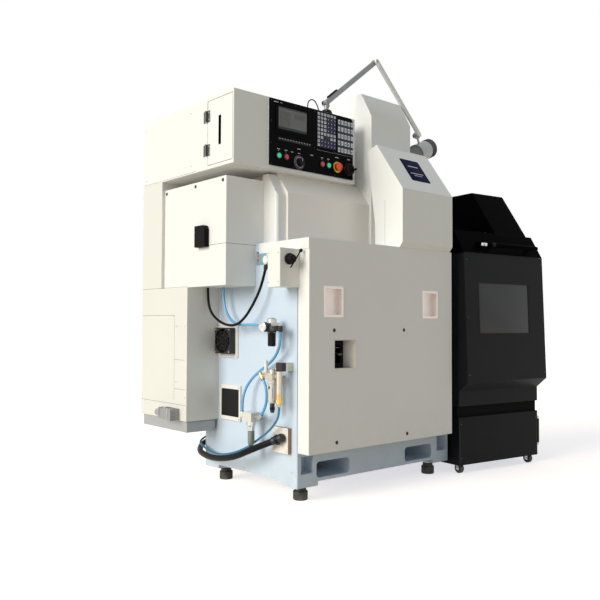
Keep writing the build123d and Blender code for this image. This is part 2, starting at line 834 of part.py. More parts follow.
# Rear cabinet: tall closed housing behind the bed with a wing at the left, and a cable tray under it
with BuildPart() as rear_cabinet:
    block((box_left, box_right), (cabinet_front, cabinet_back), (cabinet_bottom, box_bottom))
    block((bed_left, box_right), (bed_back, cabinet_front), (cabinet_bottom, bed_top))
    block((box_left, bed_left), (bed_front + wing_front_inset, cabinet_front),
          (cabinet_bottom, headstock_bottom))
    tray_low = cabinet_bottom - tray_height
    block((box_left + tray_inset, bed_left - tray_inset),
          (bed_front + wing_front_inset + tray_inset, cabinet_back - tray_inset), (tray_low, cabinet_bottom))
    block((box_left + tray_inset, bed_left - tray_inset),
          (bed_front + wing_front_inset + tray_inset, bed_front + wing_front_inset + tray_inset + 4),
          (cabinet_bottom - 7, cabinet_bottom), mode=Mode.SUBTRACT)
rear_cabinet.part.label = "rear_cabinet"
export_step(rear_cabinet.part, "parts/rear_cabinet.step")

# Heavy connector with a cable gland at the foot of the cabinet
connector_y = bed_front + 640
connector_z = cabinet_bottom + 4
connector_axis_x = box_left - connector_width / 2
with BuildPart() as cabinet_connector:
    block((box_left - connector_width, box_left), (connector_y, connector_y + connector_length),
          (connector_z, connector_z + connector_height))
    fillet(cabinet_connector.edges().filter_by(Axis.Y), radius=8)
    block((box_left - connector_width - 4, box_left), (connector_y - 5, connector_y + 14),
          (connector_z - 3, connector_z + connector_height + 3))
    turn([(0, -2), (gland_radius + 3, -2), (gland_radius + 3, 14), (gland_radius, 16),
          (gland_radius, gland_length - 10), (gland_radius - 6, gland_length), (0, gland_length)],
         (connector_axis_x, connector_y + connector_length, connector_z + connector_height / 2), (0, 1, 0))
cabinet_connector.part.label = "cabinet_connector"
export_step(cabinet_connector.part, "parts/cabinet_connector.step")

# Junction box on the left end, with a pressure sender beside it
junction_front = bed_front + junction_front_inset
sender_y = bed_front + sender_inset
sender_spot = Vector(bed_left - 44, sender_y, sender_height)
sender_way = Vector(0, sin(radians(sender_tilt)), -cos(radians(sender_tilt)))
with BuildPart() as junction_box:
    block((bed_left - junction_width, bed_left), (junction_front, junction_front + junction_depth),
          (junction_bottom, junction_bottom + junction_height - cover_skirt))
    block((bed_left - junction_width, bed_left - sheet), (junction_front, junction_front + junction_depth),
          (junction_bottom + junction_height - cover_skirt - 1, junction_bottom + junction_height))
    fillet(junction_box.edges().filter_by(Axis.Z).sort_by(Axis.X)[0:2], radius=4)
    turn([(0, 0), (sender_radius - 4, 0), (sender_radius - 4, 16), (sender_radius, 20),
          (sender_radius, sender_reach - 2), (sender_radius - 2, sender_reach), (0, sender_reach)],
         (bed_left, sender_y, sender_height), (-1, 0, 0))
    turn([(0, 0), (10, 0), (10, sender_plug - 12), (7, sender_plug), (0, sender_plug)], sender_spot, sender_way)
    with Locations(Location((bed_left - 56, junction_front, junction_bottom + junction_height - 45), (90, 0, 0))):
        Cylinder(button_stem + clearance, 2 * (switch_length - 4), mode=Mode.SUBTRACT)
junction_box.part.label = "junction_box"
export_step(junction_box.part, "parts/junction_box.step")

# Selector switch with a long lever
switch_centre = (bed_left - 56, junction_front, junction_bottom + junction_height - 45)
with BuildPart() as selector_switch:
    turn([(0, -16), (button_stem, -16), (button_stem, 1), (switch_radius, 1), (switch_radius, 8),
          (switch_radius - 6, 10), (switch_radius - 7, switch_length), (0, switch_length)],
         switch_centre, toward_user)
    lever_start = Vector(*switch_centre) + Vector(-16, -switch_length - 2, -38)
    lever_way = Vector(0.6, 0, 0.8)
    turn([(0, 0), (3, 0), (3, switch_lever - 8), (6, switch_lever - 4), (6, switch_lever + 6),
          (0, switch_lever + 9)], lever_start, lever_way)
    turn([(0, switch_length - 4), (7, switch_length - 4), (7, switch_length + 5), (0, switch_length + 5)],
         switch_centre, toward_user)
selector_switch.part.label = "selector_switch"
export_step(selector_switch.part, "parts/selector_switch.step")

# Cooling fan: square frame on a plate, with a spoked wire guard; the rotor turns inside it
fan_y = bed_front + fan_centre_inset
fan_z = fan_centre_height
fan_back = bed_left - fan_plate_thickness
fan_plane = Plane(origin=(fan_back, fan_y, fan_z), x_dir=(0, -1, 0), z_dir=(-1, 0, 0))
with BuildPart() as fan_housing:
    with BuildSketch(Plane(origin=(bed_left, fan_y, fan_z), x_dir=(0, -1, 0), z_dir=(-1, 0, 0))):
        RectangleRounded(fan_plate, fan_plate, 4)
    extrude(amount=fan_plate_thickness)
    with BuildSketch(fan_plane):
        RectangleRounded(fan_size, fan_size, 6)
        Circle(fan_ring_radius, mode=Mode.SUBTRACT)
    extrude(amount=fan_thickness - 7)
    guard_start = fan_thickness - 7
    with BuildSketch(fan_plane.offset(guard_start - guard_bar)):
        Circle(fan_hub_radius - 3)
        with PolarLocations(fan_ring_radius / 2 + 4, fan_spokes, start_angle=22.5):
            Rectangle(fan_ring_radius - 4, guard_bar)
    extrude(amount=guard_bar)
    for ring_radius in (fan_hub_radius + 9, fan_hub_radius + 22):
        with BuildSketch(fan_plane.offset(guard_start - guard_bar)):
            Circle(ring_radius)
            Circle(ring_radius - guard_bar, mode=Mode.SUBTRACT)
        extrude(amount=guard_bar)
    turn([(0, 0), (fan_shaft_radius, 0), (fan_shaft_radius, fan_shaft_length), (0, fan_shaft_length)],
         fan_plane.origin, outward)
fan_housing.part.label = "fan_housing"
export_step(fan_housing.part, "parts/fan_housing.step")

with BuildPart() as fan_rotor:
    with BuildSketch(fan_plane.offset(2)):
        Circle(fan_hub_radius)
    extrude(amount=guard_start - guard_bar - 4)
    with BuildSketch(fan_plane.offset(5)):
        with PolarLocations(0, fan_blades):
            with BuildLine():
                Spline((fan_hub_radius - 2, -6), (36, -9), (fan_ring_radius - 2, -4))
                Line((fan_ring_radius - 2, -4), (fan_ring_radius - 3, 9))
                Spline((fan_ring_radius - 3, 9), (36, 4), (fan_hub_radius - 2, 5))
                Line((fan_hub_radius - 2, 5), (fan_hub_radius - 2, -6))
            make_face()
    extrude(amount=guard_start - guard_bar - 10)
    turn([(0, 0), (fan_shaft_radius + clearance, 0), (fan_shaft_radius + clearance, fan_shaft_length + 1),
          (0, fan_shaft_length + 1)], fan_plane.origin, outward, mode=Mode.SUBTRACT)
fan_rotor.part.label = "fan_rotor"
export_step(fan_rotor.part, "parts/fan_rotor.step")

# Louvred vent below the fan
vent_y = bed_front + vent_centre_inset
vent_plane = Plane(origin=(bed_left, vent_y, vent_centre_height), x_dir=(0, -1, 0), z_dir=(-1, 0, 0))
with BuildPart() as vent_grille:
    with BuildSketch(vent_plane):
        RectangleRounded(vent_width, vent_height, 4)
    extrude(amount=vent_proud)
    with BuildSketch(vent_plane.offset(2)):
        Rectangle(vent_open_width, vent_open_height)
    extrude(amount=vent_proud - 2, mode=Mode.SUBTRACT)
    with BuildSketch(vent_plane.offset(2)):
        with GridLocations(vent_open_width / vent_ribs, 1, vent_ribs - 1, 1):
            Rectangle(2, vent_open_height)
        with GridLocations(1, vent_open_height / vent_ribs, 1, vent_ribs - 1):
            Rectangle(vent_open_width, 2)
    extrude(amount=3)
vent_grille.part.label = "vent_grille"
export_step(vent_grille.part, "parts/vent_grille.step")

# Cable plate with an angled gland, and the box behind the bed that the conduit and hose run to
conduit_diameter = 28
supply_diameter = 10
tube_diameter = 12
gland_hub = Vector(bed_left - plate_proud - 14, bed_front + 66, ground_gap + 207)
conduit_turn = Vector(bed_left - 92, bed_front + 188, ground_gap + 152)
gland_way = (conduit_turn - gland_hub).normalized()
conduit_start = gland_hub + gland_way * 42
rear_box_x = bed_left + rear_box_left
conduit_port_y = bed_back + 84
conduit_port_z = 185
supply_port_y = bed_back + 52
supply_port_z = 235
with BuildPart() as cable_plate:
    block((bed_left - plate_proud, bed_left),
          (bed_front + plate_front_inset, bed_front + plate_front_inset + plate_width),
          (plate_bottom, plate_bottom + plate_height))
    with Locations(gland_hub):
        Sphere(20)
    turn([(0, 0), (19, 0), (19, 12), (17, 14), (17, 42), (0, 42)], gland_hub, gland_way)
    block((rear_box_x, rear_box_x + rear_box_width), (bed_back, bed_back + rear_box_depth),
          (rear_box_bottom, rear_box_bottom + rear_box_height))
    turn([(0, 0), (18, 0), (18, 14), (16, 22), (0, 22)], (rear_box_x, conduit_port_y, conduit_port_z), outward)
    turn([(0, 0), (9, 0), (9, 14), (7, 18), (0, 18)], (rear_box_x, supply_port_y, supply_port_z), outward)
cable_plate.part.label = "cable_plate"
export_step(cable_plate.part, "parts/cable_plate.step")

# Air regulator with its gauge, ports and bracket; the knob below it turns
regulator_x = bed_left - unit_reach
regulator_y = bed_front + regulator_inset
regulator_z = regulator_height
with BuildPart() as air_regulator:
    block((bed_left - unit_reach, bed_left), (regulator_y - 14, regulator_y + 14),
          (regulator_z - 8, regulator_z - 8 + bracket))
    block((regulator_x - 22, regulator_x + 22), (regulator_y - 24, regulator_y + 24),
          (regulator_z - 16, regulator_z + 16))
    turn([(0, 10), (21, 10), (21, 30), (16, 36), (0, 38)], (regulator_x, regulator_y, regulator_z), (0, 0, 1))
    turn([(0, 10), (20, 10), (20, 26), (0, 26)], (regulator_x, regulator_y, regulator_z), down)
    turn([(0, 20), (8, 20), (8, 30), (20, 31), (21, 33), (21, 50), (18, 52), (0, 52)],
         (regulator_x, regulator_y, regulator_z - 2), outward)
    turn([(0, 22), (11, 22), (11, 30), (8, 34), (0, 34)], (regulator_x, regulator_y, regulator_z + 4), (0, 1, 0))
    turn([(0, 22), (11, 22), (11, 50), (0, 50)], (regulator_x, regulator_y, regulator_z - 8), (0, -1, 0))
    turn([(0, -11), (11, -11), (11, 6), (8, 14), (0, 14)], (regulator_x, regulator_y - 57, regulator_z - 8), down)
    with Locations(Location((regulator_x, regulator_y, regulator_z - 26))):
        Cylinder(button_stem + clearance, 30, mode=Mode.SUBTRACT)
air_regulator.part.label = "air_regulator"
export_step(air_regulator.part, "parts/air_regulator.step")

with BuildPart() as regulator_knob:
    knob_end = regulator_knob_drop + regulator_knob_length
    turn([(0, 18), (button_stem, 18), (button_stem, regulator_knob_drop - 0.5),
          (regulator_knob_radius, regulator_knob_drop), (regulator_knob_radius, knob_end - 4),
          (regulator_knob_radius - 4, knob_end), (0, knob_end)],
         (regulator_x, regulator_y, regulator_z), down)
    with BuildSketch(Plane.XY.offset(regulator_z - 40)):
        with Locations((regulator_x, regulator_y)):
            with PolarLocations(regulator_knob_radius + 0.6, 16):
                Circle(1.6)
    extrude(amount=-36, mode=Mode.SUBTRACT)
regulator_knob.part.label = "regulator_knob"
export_step(regulator_knob.part, "parts/regulator_knob.step")

# Air filter: head, clear bowl with a drain, shut-off valve beside it, brass elbow and silencer
filter_x = bed_left - unit_reach
filter_y = bed_front + filter_inset
filter_z = filter_height
valve_y = filter_y - 45
elbow_tilt = radians(38)
elbow_spot = Vector(filter_x, filter_y + 78, filter_z - 14)
elbow_way = Vector(0, -sin(elbow_tilt), -cos(elbow_tilt))
with BuildPart() as air_filter:
    block((bed_left - unit_reach, bed_left), (filter_y - 14, filter_y + 14),
          (filter_z - 20, filter_z - 20 + bracket))
    block((filter_x - 21, filter_x + 21), (filter_y - 24, filter_y + 24), (filter_z - 28, filter_z))
    turn([(0, -4), (14, -4), (14, 12), (9, 18), (0, 18)], (filter_x, filter_y, filter_z), (0, 0, 1))
    turn([(0, 26), (filter_bowl_radius + 3, 26), (filter_bowl_radius + 3, 44), (filter_bowl_radius, 46),
          (filter_bowl_radius, 118), (filter_bowl_radius - 5, 128), (0, 128)],
         (filter_x, filter_y, filter_z), down)
    turn([(0, 127), (9, 127), (10, 134), (10, 158), (7, 168), (0, 168)], (filter_x, filter_y, filter_z), down)
    turn([(0, 22), (9, 22), (9, 34), (7, 36), (7, 84), (0, 84)], (filter_x, filter_y, filter_z - 14), (0, 1, 0))
    turn([(0, 0), (8, 0), (8, 16), (0, 16)], (filter_x, filter_y + 43, filter_z - 14), (0, 0, 1))
    turn([(0, 15), (7.5, 15), (7.5, 60), (4, 66), (0, 66)], (filter_x, filter_y + 43, filter_z - 14), (0, 0, 1))
    turn([(0, -9), (9, -9), (9, 10), (7.5, 20), (0, 20)], elbow_spot, elbow_way)
    turn([(0, 22), (10, 22), (10, 34), (0, 34)], (filter_x, filter_y, filter_z - 14), (0, -1, 0))
    turn([(0, -8), (11.5, -8), (11.5, 84), (13, 86), (13, 124), (9, 130), (7, 140), (0, 140)],
         (filter_x, valve_y, filter_z), down)
    block((filter_x - 2, bed_left), (valve_y - 20, valve_y + 20), (filter_z + 8, filter_z + 44))
air_filter.part.label = "air_filter"
export_step(air_filter.part, "parts/air_filter.step")

# Mist separator: ported head, metal bowl and drain cock
mist_x = bed_left - unit_reach
mist_y = bed_front + mist_inset
mist_z = mist_height
fitting_spot = Vector(mist_x, mist_y - 64, mist_z)
fitting_way = Vector(0, -sin(elbow_tilt), cos(elbow_tilt))
with BuildPart() as mist_filter:
    block((bed_left - unit_reach, bed_left), (mist_y - 14, mist_y + 14), (mist_z - 20, mist_z - 20 + bracket))
    block((mist_x - 24, mist_x + 24), (mist_y - 30, mist_y + 30), (mist_z - 22, mist_z + 18))
    turn([(0, -16), (15, -16), (15, -8), (17, -4), (17, 22), (0, 22)], (mist_x, mist_y, mist_z), down)
    turn([(0, 22), (19, 22), (19, 40), (15.5, 44), (mist_bowl_radius, 60), (mist_bowl_radius, 118),
          (mist_bowl_radius - 5, 126), (0, 126)], (mist_x, mist_y, mist_z), down)
    turn([(0, 125), (8, 125), (9, 130), (9, 148), (6, 156), (0, 156)], (mist_x, mist_y, mist_z), down)
    turn([(0, 28), (10, 28), (10, 58), (0, 58)], (mist_x, mist_y, mist_z), (0, 1, 0))
    turn([(0, -10), (10, -10), (10, 8), (8, 14), (0, 14)], (mist_x, mist_y + 66, mist_z), (0, 0, 1))
    turn([(0, 28), (10, 28), (10, 60), (0, 60)], (mist_x, mist_y, mist_z), (0, -1, 0))
    turn([(0, -10), (10, -10), (10, 8), (8, 14), (0, 14)], fitting_spot, fitting_way)
mist_filter.part.label = "mist_filter"
export_step(mist_filter.part, "parts/mist_filter.step")

# Conduit from the angled gland, round the back left corner of the bed and into the rear box
conduit_route = [
    conduit_start,
    conduit_turn,
    (bed_left - 100, bed_front + 310, ground_gap + 100),
    (bed_left - 96, bed_front + 440, ground_gap + 76),
    (bed_left - 78, bed_front + 560, ground_gap + 70),
    (bed_left - 46, bed_front + 668, ground_gap + 76),
    (bed_left + 20, bed_back + 62, ground_gap + 92),
    (bed_left + 120, bed_back + 98, ground_gap + 110),
    (bed_left + 218, conduit_port_y, conduit_port_z),
    (rear_box_x - 22, conduit_port_y, conduit_port_z),
]
conduit = cord(conduit_route, conduit_diameter, "conduit")
conduit.label = "conduit"
export_step(conduit, "parts/conduit.step")

# Supply hose from the valve beside the filter, inside the conduit and round to the rear box
supply_route = [
    (filter_x, valve_y, filter_z - 140),
    (filter_x, valve_y, filter_z - 172),
    (filter_x, valve_y + 19, filter_z - 203),
    (filter_x + 5, valve_y + 68, filter_z - 245),
    (filter_x + 22, valve_y + 163, filter_z - 294),
    (filter_x + 26, valve_y + 242, filter_z - 338),
    (filter_x + 26, valve_y + 330, filter_z - 373),
    (filter_x + 26, valve_y + 422, filter_z - 398),
    (filter_x + 25, valve_y + 514, filter_z - 404),
    (filter_x + 30, valve_y + 601, filter_z - 388),
    (filter_x + 42, valve_y + 667, filter_z - 371),
    (bed_left + 40, bed_back + 54, ground_gap + 130),
    (bed_left + 130, bed_back + 64, ground_gap + 152),
    (bed_left + 222, supply_port_y, supply_port_z),
    (rear_box_x - 18, supply_port_y, supply_port_z),
]
supply_hose = cord(supply_route, supply_diameter, "supply_hose")
supply_hose.label = "supply_hose"
export_step(supply_hose, "parts/supply_hose.step")

# Upper tube from the regulator's right port down to the mist separator's far port
upper_route = [
    (regulator_x, regulator_y - 57, regulator_z - 22),
    (regulator_x, regulator_y - 57, regulator_z - 56),
    (regulator_x + 6, regulator_y - 42, regulator_z - 88),
    (regulator_x + 20, regulator_y - 2, regulator_z - 126),
    (regulator_x + 32, regulator_y + 52, regulator_z - 158),
    (regulator_x + 34, regulator_y + 114, regulator_z - 190),
    (regulator_x + 26, regulator_y + 168, regulator_z - 228),
    (regulator_x + 12, regulator_y + 200, regulator_z - 276),
    (mist_x, mist_y + 66, mist_z + 63),
    (mist_x, mist_y + 66, mist_z + 14),
]
upper_tube = cord(upper_route, tube_diameter, "upper_tube")
upper_tube.label = "upper_tube"
export_step(upper_tube, "parts/upper_tube.step")

# Cross tube from the filter's brass elbow to the mist separator's near port
cross_route = [
    elbow_spot + elbow_way * 20,
    elbow_spot + elbow_way * 52,
    (filter_x, bed_front + 131, filter_z - 90),
    (filter_x, bed_front + 132, filter_z - 126),
    fitting_spot + fitting_way * 46,
    fitting_spot + fitting_way * 14,
]
cross_tube = cord(cross_route, tube_diameter, "cross_tube")
cross_tube.label = "cross_tube"
export_step(cross_tube, "parts/cross_tube.step")

# Inlet tube from the headstock cover's underside to the regulator's left port
inlet_route = [
    (bed_left - 44, bed_front + 478, headstock_bottom),
    (bed_left - 44, bed_front + 478, headstock_bottom - 62),
    (bed_left - 46, bed_front + 448, headstock_bottom - 124),
    (bed_left - 50, bed_front + 392, headstock_bottom - 163),
    (bed_left - 54, bed_front + 324, headstock_bottom - 176),
    (bed_left - 57, bed_front + 256, headstock_bottom - 172),
    (regulator_x, bed_front + 190, regulator_z + 4),
    (regulator_x, regulator_y + 34, regulator_z + 4),
]
inlet_tube = cord(inlet_route, tube_diameter, "inlet_tube")
inlet_tube.label = "inlet_tube"
export_step(inlet_tube, "parts/inlet_tube.step")

# Sender cable: hangs in a loop from the headstock cover across to the pressure sender
cable_diameter = 12
sender_route = [
    (bed_left - 74, bed_front + 562, headstock_bottom),
    (bed_left - 74, bed_front + 562, headstock_bottom - 58),
    (bed_left - 73, bed_front + 540, headstock_bottom - 116),
    (bed_left - 71, bed_front + 480, headstock_bottom - 156),
    (bed_left - 69, bed_front + 404, headstock_bottom - 178),
    (bed_left - 67, bed_front + 340, headstock_bottom - 174),
    (bed_left - 63, bed_front + 290, headstock_bottom - 146),
    (bed_left - 59, bed_front + 246, headstock_bottom - 101),
    (bed_left - 54, bed_front + 207, headstock_bottom - 47),
    sender_spot + sender_way * (sender_plug + 56),
    sender_spot + sender_way * sender_plug,
]
sender_cable = cord(sender_route, cable_diameter, "sender_cable")
sender_cable.label = "sender_cable"
export_step(sender_cable, "parts/sender_cable.step")

# Work lamp: base on the box, post that swivels, two arms and a head
shoulder = Vector(lamp_x, lamp_y, lamp_shoulder)
elbow = Vector(lamp_x + lamp_elbow_run, lamp_y, lamp_elbow)
wrist = Vector(lamp_x + lamp_elbow_run + lamp_wrist_run, lamp_y, lamp_wrist)
pin_radius = 5
with BuildPart() as lamp_base:
    turn([(0, 0), (lamp_base_radius, 0), (lamp_base_radius, 10), (lamp_base_radius - 6, lamp_base_height),
          (7 + clearance, lamp_base_height), (7 + clearance, 6), (0, 6)], (lamp_x, lamp_y, box_top), (0, 0, 1))
lamp_base.part.label = "lamp_base"
export_step(lamp_base.part, "parts/lamp_base.step")

with BuildPart() as lamp_post:
    turn([(0, 6.3), (7, 6.3), (7, lamp_base_height + clearance), (11, lamp_base_height + clearance),
          (11, lamp_base_height + 14), (0, lamp_base_height + 14)], (lamp_x, lamp_y, box_top), (0, 0, 1))
    post_top = lamp_shoulder - arm_width / 2 - 3
    post_low = lamp_base_height + 10
    post_high = post_top - box_top
    turn([(0, post_low), (11, post_low), (11, post_high), (0, post_high)], (lamp_x, lamp_y, box_top), upward)
    for start in (lamp_y - 12, lamp_y + 6 + clearance):
        with BuildSketch(Plane.XZ.offset(-start)):
            with Locations((lamp_x, (lamp_shoulder + post_top) / 2 - 4)):
                Rectangle(18, lamp_shoulder - post_top + 8)
            with Locations((lamp_x, lamp_shoulder)):
                Circle(11)
                Circle(pin_radius + clearance, mode=Mode.SUBTRACT)
        extrude(amount=-(6 - clearance))
lamp_post.part.label = "lamp_post"
export_step(lamp_post.part, "parts/lamp_post.step")


def arm_bar(start, end, side, thickness):
    """Add a flat arm with rounded ends between two joints, on one side of the lamp's plane."""
    way = end - start
    plane = Plane(origin=(start.X, side, start.Z), x_dir=(way.X, 0, way.Z), z_dir=(0, -1, 0))
    with BuildSketch(plane) as section:
        with Locations((way.length / 2, 0)):
            SlotOverall(way.length + arm_width, arm_width)
    extrude(section.sketch, amount=thickness)


with BuildPart() as lamp_lower_arm:
    arm_bar(shoulder, elbow, lamp_y + 6, arm_thickness)
    turn([(0, -12), (pin_radius, -12), (pin_radius, 12), (0, 12)], shoulder, (0, 1, 0))
    turn([(0, -20), (pin_radius, -20), (pin_radius, 6), (0, 6)], elbow, (0, 1, 0))
lamp_lower_arm.part.label = "lamp_lower_arm"
export_step(lamp_lower_arm.part, "parts/lamp_lower_arm.step")

with BuildPart() as lamp_upper_arm:
    arm_bar(elbow, wrist, lamp_y - 6 - clearance, arm_thickness)
    turn([(0, -22), (pin_radius + clearance, -22), (pin_radius + clearance, -4), (0, -4)], elbow,
         (0, 1, 0), mode=Mode.SUBTRACT)
    turn([(0, -18), (pin_radius, -18), (pin_radius, 14), (0, 14)], wrist, (0, 1, 0))
lamp_upper_arm.part.label = "lamp_upper_arm"
export_step(lamp_upper_arm.part, "parts/lamp_upper_arm.step")

head_way = Vector(cos(radians(lamp_head_tilt)), 0, sin(radians(lamp_head_tilt)))
head_down = Vector(sin(radians(lamp_head_tilt)), 0, -cos(radians(lamp_head_tilt)))
head_centre = wrist + head_down * lamp_head_drop + head_way * 14
with BuildPart() as lamp_head:
    turn([(pin_radius + clearance, -6), (19, -6), (19, 14), (pin_radius + clearance, 14)],
         wrist, (0, 1, 0))
    neck_end = lamp_head_drop - lamp_head_radius + 4
    turn([(0, 14), (6, 14), (6, neck_end), (0, neck_end)],
         (wrist.X, lamp_y + 4, wrist.Z), head_down)
    half = lamp_head_length / 2
    turn([(0, -half + 26), (lamp_head_radius - 10, -half + 26), (lamp_head_radius - 3, -half),
          (lamp_head_radius, -half), (lamp_head_radius, half - 8), (lamp_head_radius - 8, half), (0, half)],
         head_centre, head_way)
lamp_head.part.label = "lamp_head"
export_step(lamp_head.part, "parts/lamp_head.step")

# Lamp cable: a thin loop from the box top into the side of the lamp's base
lamp_cable_diameter = 6
lamp_route = [
    (lamp_x - 124, lamp_y, box_top),
    (lamp_x - 124, lamp_y, box_top + 26),
    (lamp_x - 116, lamp_y - 1, box_top + 46),
    (lamp_x - 98, lamp_y - 2, box_top + 57),
    (lamp_x - 77, lamp_y - 2, box_top + 52),
    (lamp_x - 62, lamp_y - 1, box_top + 34),
    (lamp_x - 52, lamp_y, box_top + 14),
    (lamp_x - lamp_base_radius - 16, lamp_y, box_top + 5.5),
    (lamp_x - lamp_base_radius - 0.3, lamp_y, box_top + 5.5),
]
lamp_cable = cord(lamp_route, lamp_cable_diameter, "lamp_cable")
lamp_cable.label = "lamp_cable"
export_step(lamp_cable, "parts/lamp_cable.step")

# Rolling chip unit, drawn in a frame of its own that stands a few degrees askew of the bed
unit = Plane(origin=(unit_x, unit_y, 0), x_dir=(cos(radians(unit_turn)), -sin(radians(unit_turn)), 0),
             z_dir=(0, 0, 1))
unit_under = unit_floor + skirt_height
half_tread = caster_wheel_width / 2
unit_side = Plane(origin=(unit_x, unit_y, 0), x_dir=unit.y_dir, z_dir=unit.x_dir)
body_outline = [
    (0, unit_floor), (0, tank_top), (gap_recess, tank_top), (gap_recess, gap_top), (0, gap_top),
    (0, belly_low), (-belly_proud, belly_knee), (-belly_top_proud, belly_top),
    (lid_front + 20, belly_top), (lid_front + 20, lid_step - lid_drop),
    (unit_depth, lid_step - lid_drop), (unit_depth, unit_floor),
]
with BuildPart() as unit_body:
    side_profile(body_outline, 0, unit_width, frame=unit_side)
    block((4, unit_width - 4), (lid_front + 26, unit_depth - 4), (gap_top + 20, lid_step), frame=unit,
          mode=Mode.SUBTRACT)
    block((skirt, unit_width - skirt), (skirt, unit_depth - skirt), (unit_floor, unit_under), frame=unit,
          mode=Mode.SUBTRACT)
    for left in caster_lefts:
        turn([(0, 0), (caster_stem + clearance, 0), (caster_stem + clearance, caster_socket), (0, caster_socket)],
             unit.from_local_coords(Vector(left, caster_back, unit_under)), upward, mode=Mode.SUBTRACT)
        for cheek in (left - half_tread - 1 - fork_wall, left + half_tread + 1):
            block((cheek, cheek + fork_wall), (rear_wheel_back - 14, rear_wheel_back + 14),
                  (caster_wheel_radius - 10, unit_under), frame=unit)
    turn([(0, 0), (axle_radius + clearance, 0), (axle_radius + clearance, unit_width - 2 * skirt),
          (0, unit_width - 2 * skirt)],
         unit.from_local_coords(Vector(skirt, rear_wheel_back, caster_wheel_radius)), unit.x_dir,
         mode=Mode.SUBTRACT)
    belly_lean = degrees(atan2(belly_proud - belly_top_proud, belly_top - belly_knee))
    window_up = window_bottom + window_height / 2
    window_share = (window_up - belly_knee) / (belly_top - belly_knee)
    window_out = -belly_proud + (belly_proud - belly_top_proud) * window_share
    window_spot = unit.from_local_coords(Vector(window_left + window_width / 2, window_out, window_up))
    belly_up = unit.y_dir * sin(radians(belly_lean)) + Vector(0, 0, cos(radians(belly_lean)))
    window_plane = Plane(origin=window_spot, x_dir=unit.x_dir, z_dir=unit.x_dir.cross(belly_up))
    with BuildSketch(window_plane):
        Rectangle(window_width, window_height)
    extrude(amount=-window_recess, mode=Mode.SUBTRACT)
    for place in lid_hinges:
        turn([(0, 0), (lid_hinge_radius, 0), (lid_hinge_radius, lid_hinge_length), (0, lid_hinge_length)],
             unit.from_local_coords(Vector(place, unit_depth + lid_hinge_stand, lid_step - lid_drop)), unit.x_dir)
        block((place, place + lid_hinge_length), (unit_depth, unit_depth + 3),
              (lid_step - lid_drop - 30, lid_step - lid_drop - 2), frame=unit)
    for low in (grip_bar_low + 8, grip_bar_high - 8):
        turn([(0, 0), (grip_bar_radius - 2, 0), (grip_bar_radius - 2, grip_bar_proud), (0, grip_bar_proud)],
             unit.from_local_coords(Vector(unit_width, grip_bar_back, low)), unit.x_dir)
    turn([(0, grip_bar_low), (grip_bar_radius, grip_bar_low), (grip_bar_radius, grip_bar_high),
          (0, grip_bar_high)],
         unit.from_local_coords(Vector(unit_width + grip_bar_proud, grip_bar_back, 0)), upward)
unit_body.part.label = "unit_body"
export_step(unit_body.part, "parts/unit_body.step")

# Lid of the chip unit: fascia with its bar handle and catch, roof and a raised hatch at the right
lid_low = lid_step - lid_drop + lid_seat
lip_back = lid_front + 20 - lid_gap
lid_outline = [
    (-belly_top_proud, belly_top + lid_gap), (lid_front, lid_step), (lid_shelf, lid_roof),
    (unit_depth, lid_roof), (unit_depth, lid_low), (lip_back, lid_low), (lip_back, belly_top + lid_gap),
]
hatch_outline = [
    (lid_shelf, lid_roof - 2), (hatch_slope_run, hatch_top), (unit_depth, hatch_top), (unit_depth, lid_roof - 2),
]
with BuildPart() as unit_lid:
    side_profile(lid_outline, 0, unit_width, frame=unit_side)
    side_profile(hatch_outline, hatch_left, unit_width - hatch_left, frame=unit_side)
    for place in lid_hinges:
        block((place, place + lid_hinge_length), (unit_depth, unit_depth + 3),
              (lid_step - lid_drop + lid_hinge_radius + 2, lid_step - 2), frame=unit)
    bar_y = lid_front - bar_behind_lid
    for place in (bar_left + bar_stand_inset, bar_left + bar_length - bar_stand_inset):
        turn([(0, -bar_post_sunk), (bar_radius - 3, -bar_post_sunk), (bar_radius - 3, bar_proud), (0, bar_proud)],
             unit.from_local_coords(Vector(place, bar_y, bar_height)), (-unit.y_dir))
    turn([(0, 0), (bar_radius, 0), (bar_radius, bar_length), (0, bar_length)],
         unit.from_local_coords(Vector(bar_left, bar_y - bar_proud, bar_height)), unit.x_dir)
    block((catch_left, catch_left + catch_width), (bar_y + bar_post_sunk - catch_depth, bar_y + bar_post_sunk),
          (bar_height - catch_height / 2 + 1, bar_height + catch_height / 2 + 1), frame=unit)
unit_lid.part.label = "unit_lid"
export_step(unit_lid.part, "parts/unit_lid.step")

# Casters: two swivel forks with their wheels at the front, and a fixed pair on one axle at the back
wheel_back = caster_back - caster_trail


def caster_fork(left):
    """Make a swivel fork whose wheel sits off the stem, turned towards the front."""
    with BuildPart() as fork:
        inner = half_tread + 1
        yoke = caster_wheel_radius * 2 + 3
        block((left - inner - fork_wall, left + inner + fork_wall), (wheel_back - 9, caster_back + 12),
              (yoke, yoke + fork_wall), frame=unit)
        for cheek in (left - inner - fork_wall, left + inner):
            block((cheek, cheek + fork_wall), (wheel_back - 9, wheel_back + 9),
                  (caster_wheel_radius - 8, yoke + fork_wall), frame=unit)
        turn([(0, -inner - fork_wall), (axle_radius, -inner - fork_wall), (axle_radius, inner + fork_wall),
              (0, inner + fork_wall)],
             unit.from_local_coords(Vector(left, wheel_back, caster_wheel_radius)), unit.x_dir)
        turn([(0, yoke), (11, yoke), (11, unit_under - clearance), (caster_stem, unit_under - clearance),
              (caster_stem, unit_under + caster_socket - 2), (0, unit_under + caster_socket - 2)],
             unit.from_local_coords(Vector(left, caster_back, 0)), (0, 0, 1))
    return fork.part


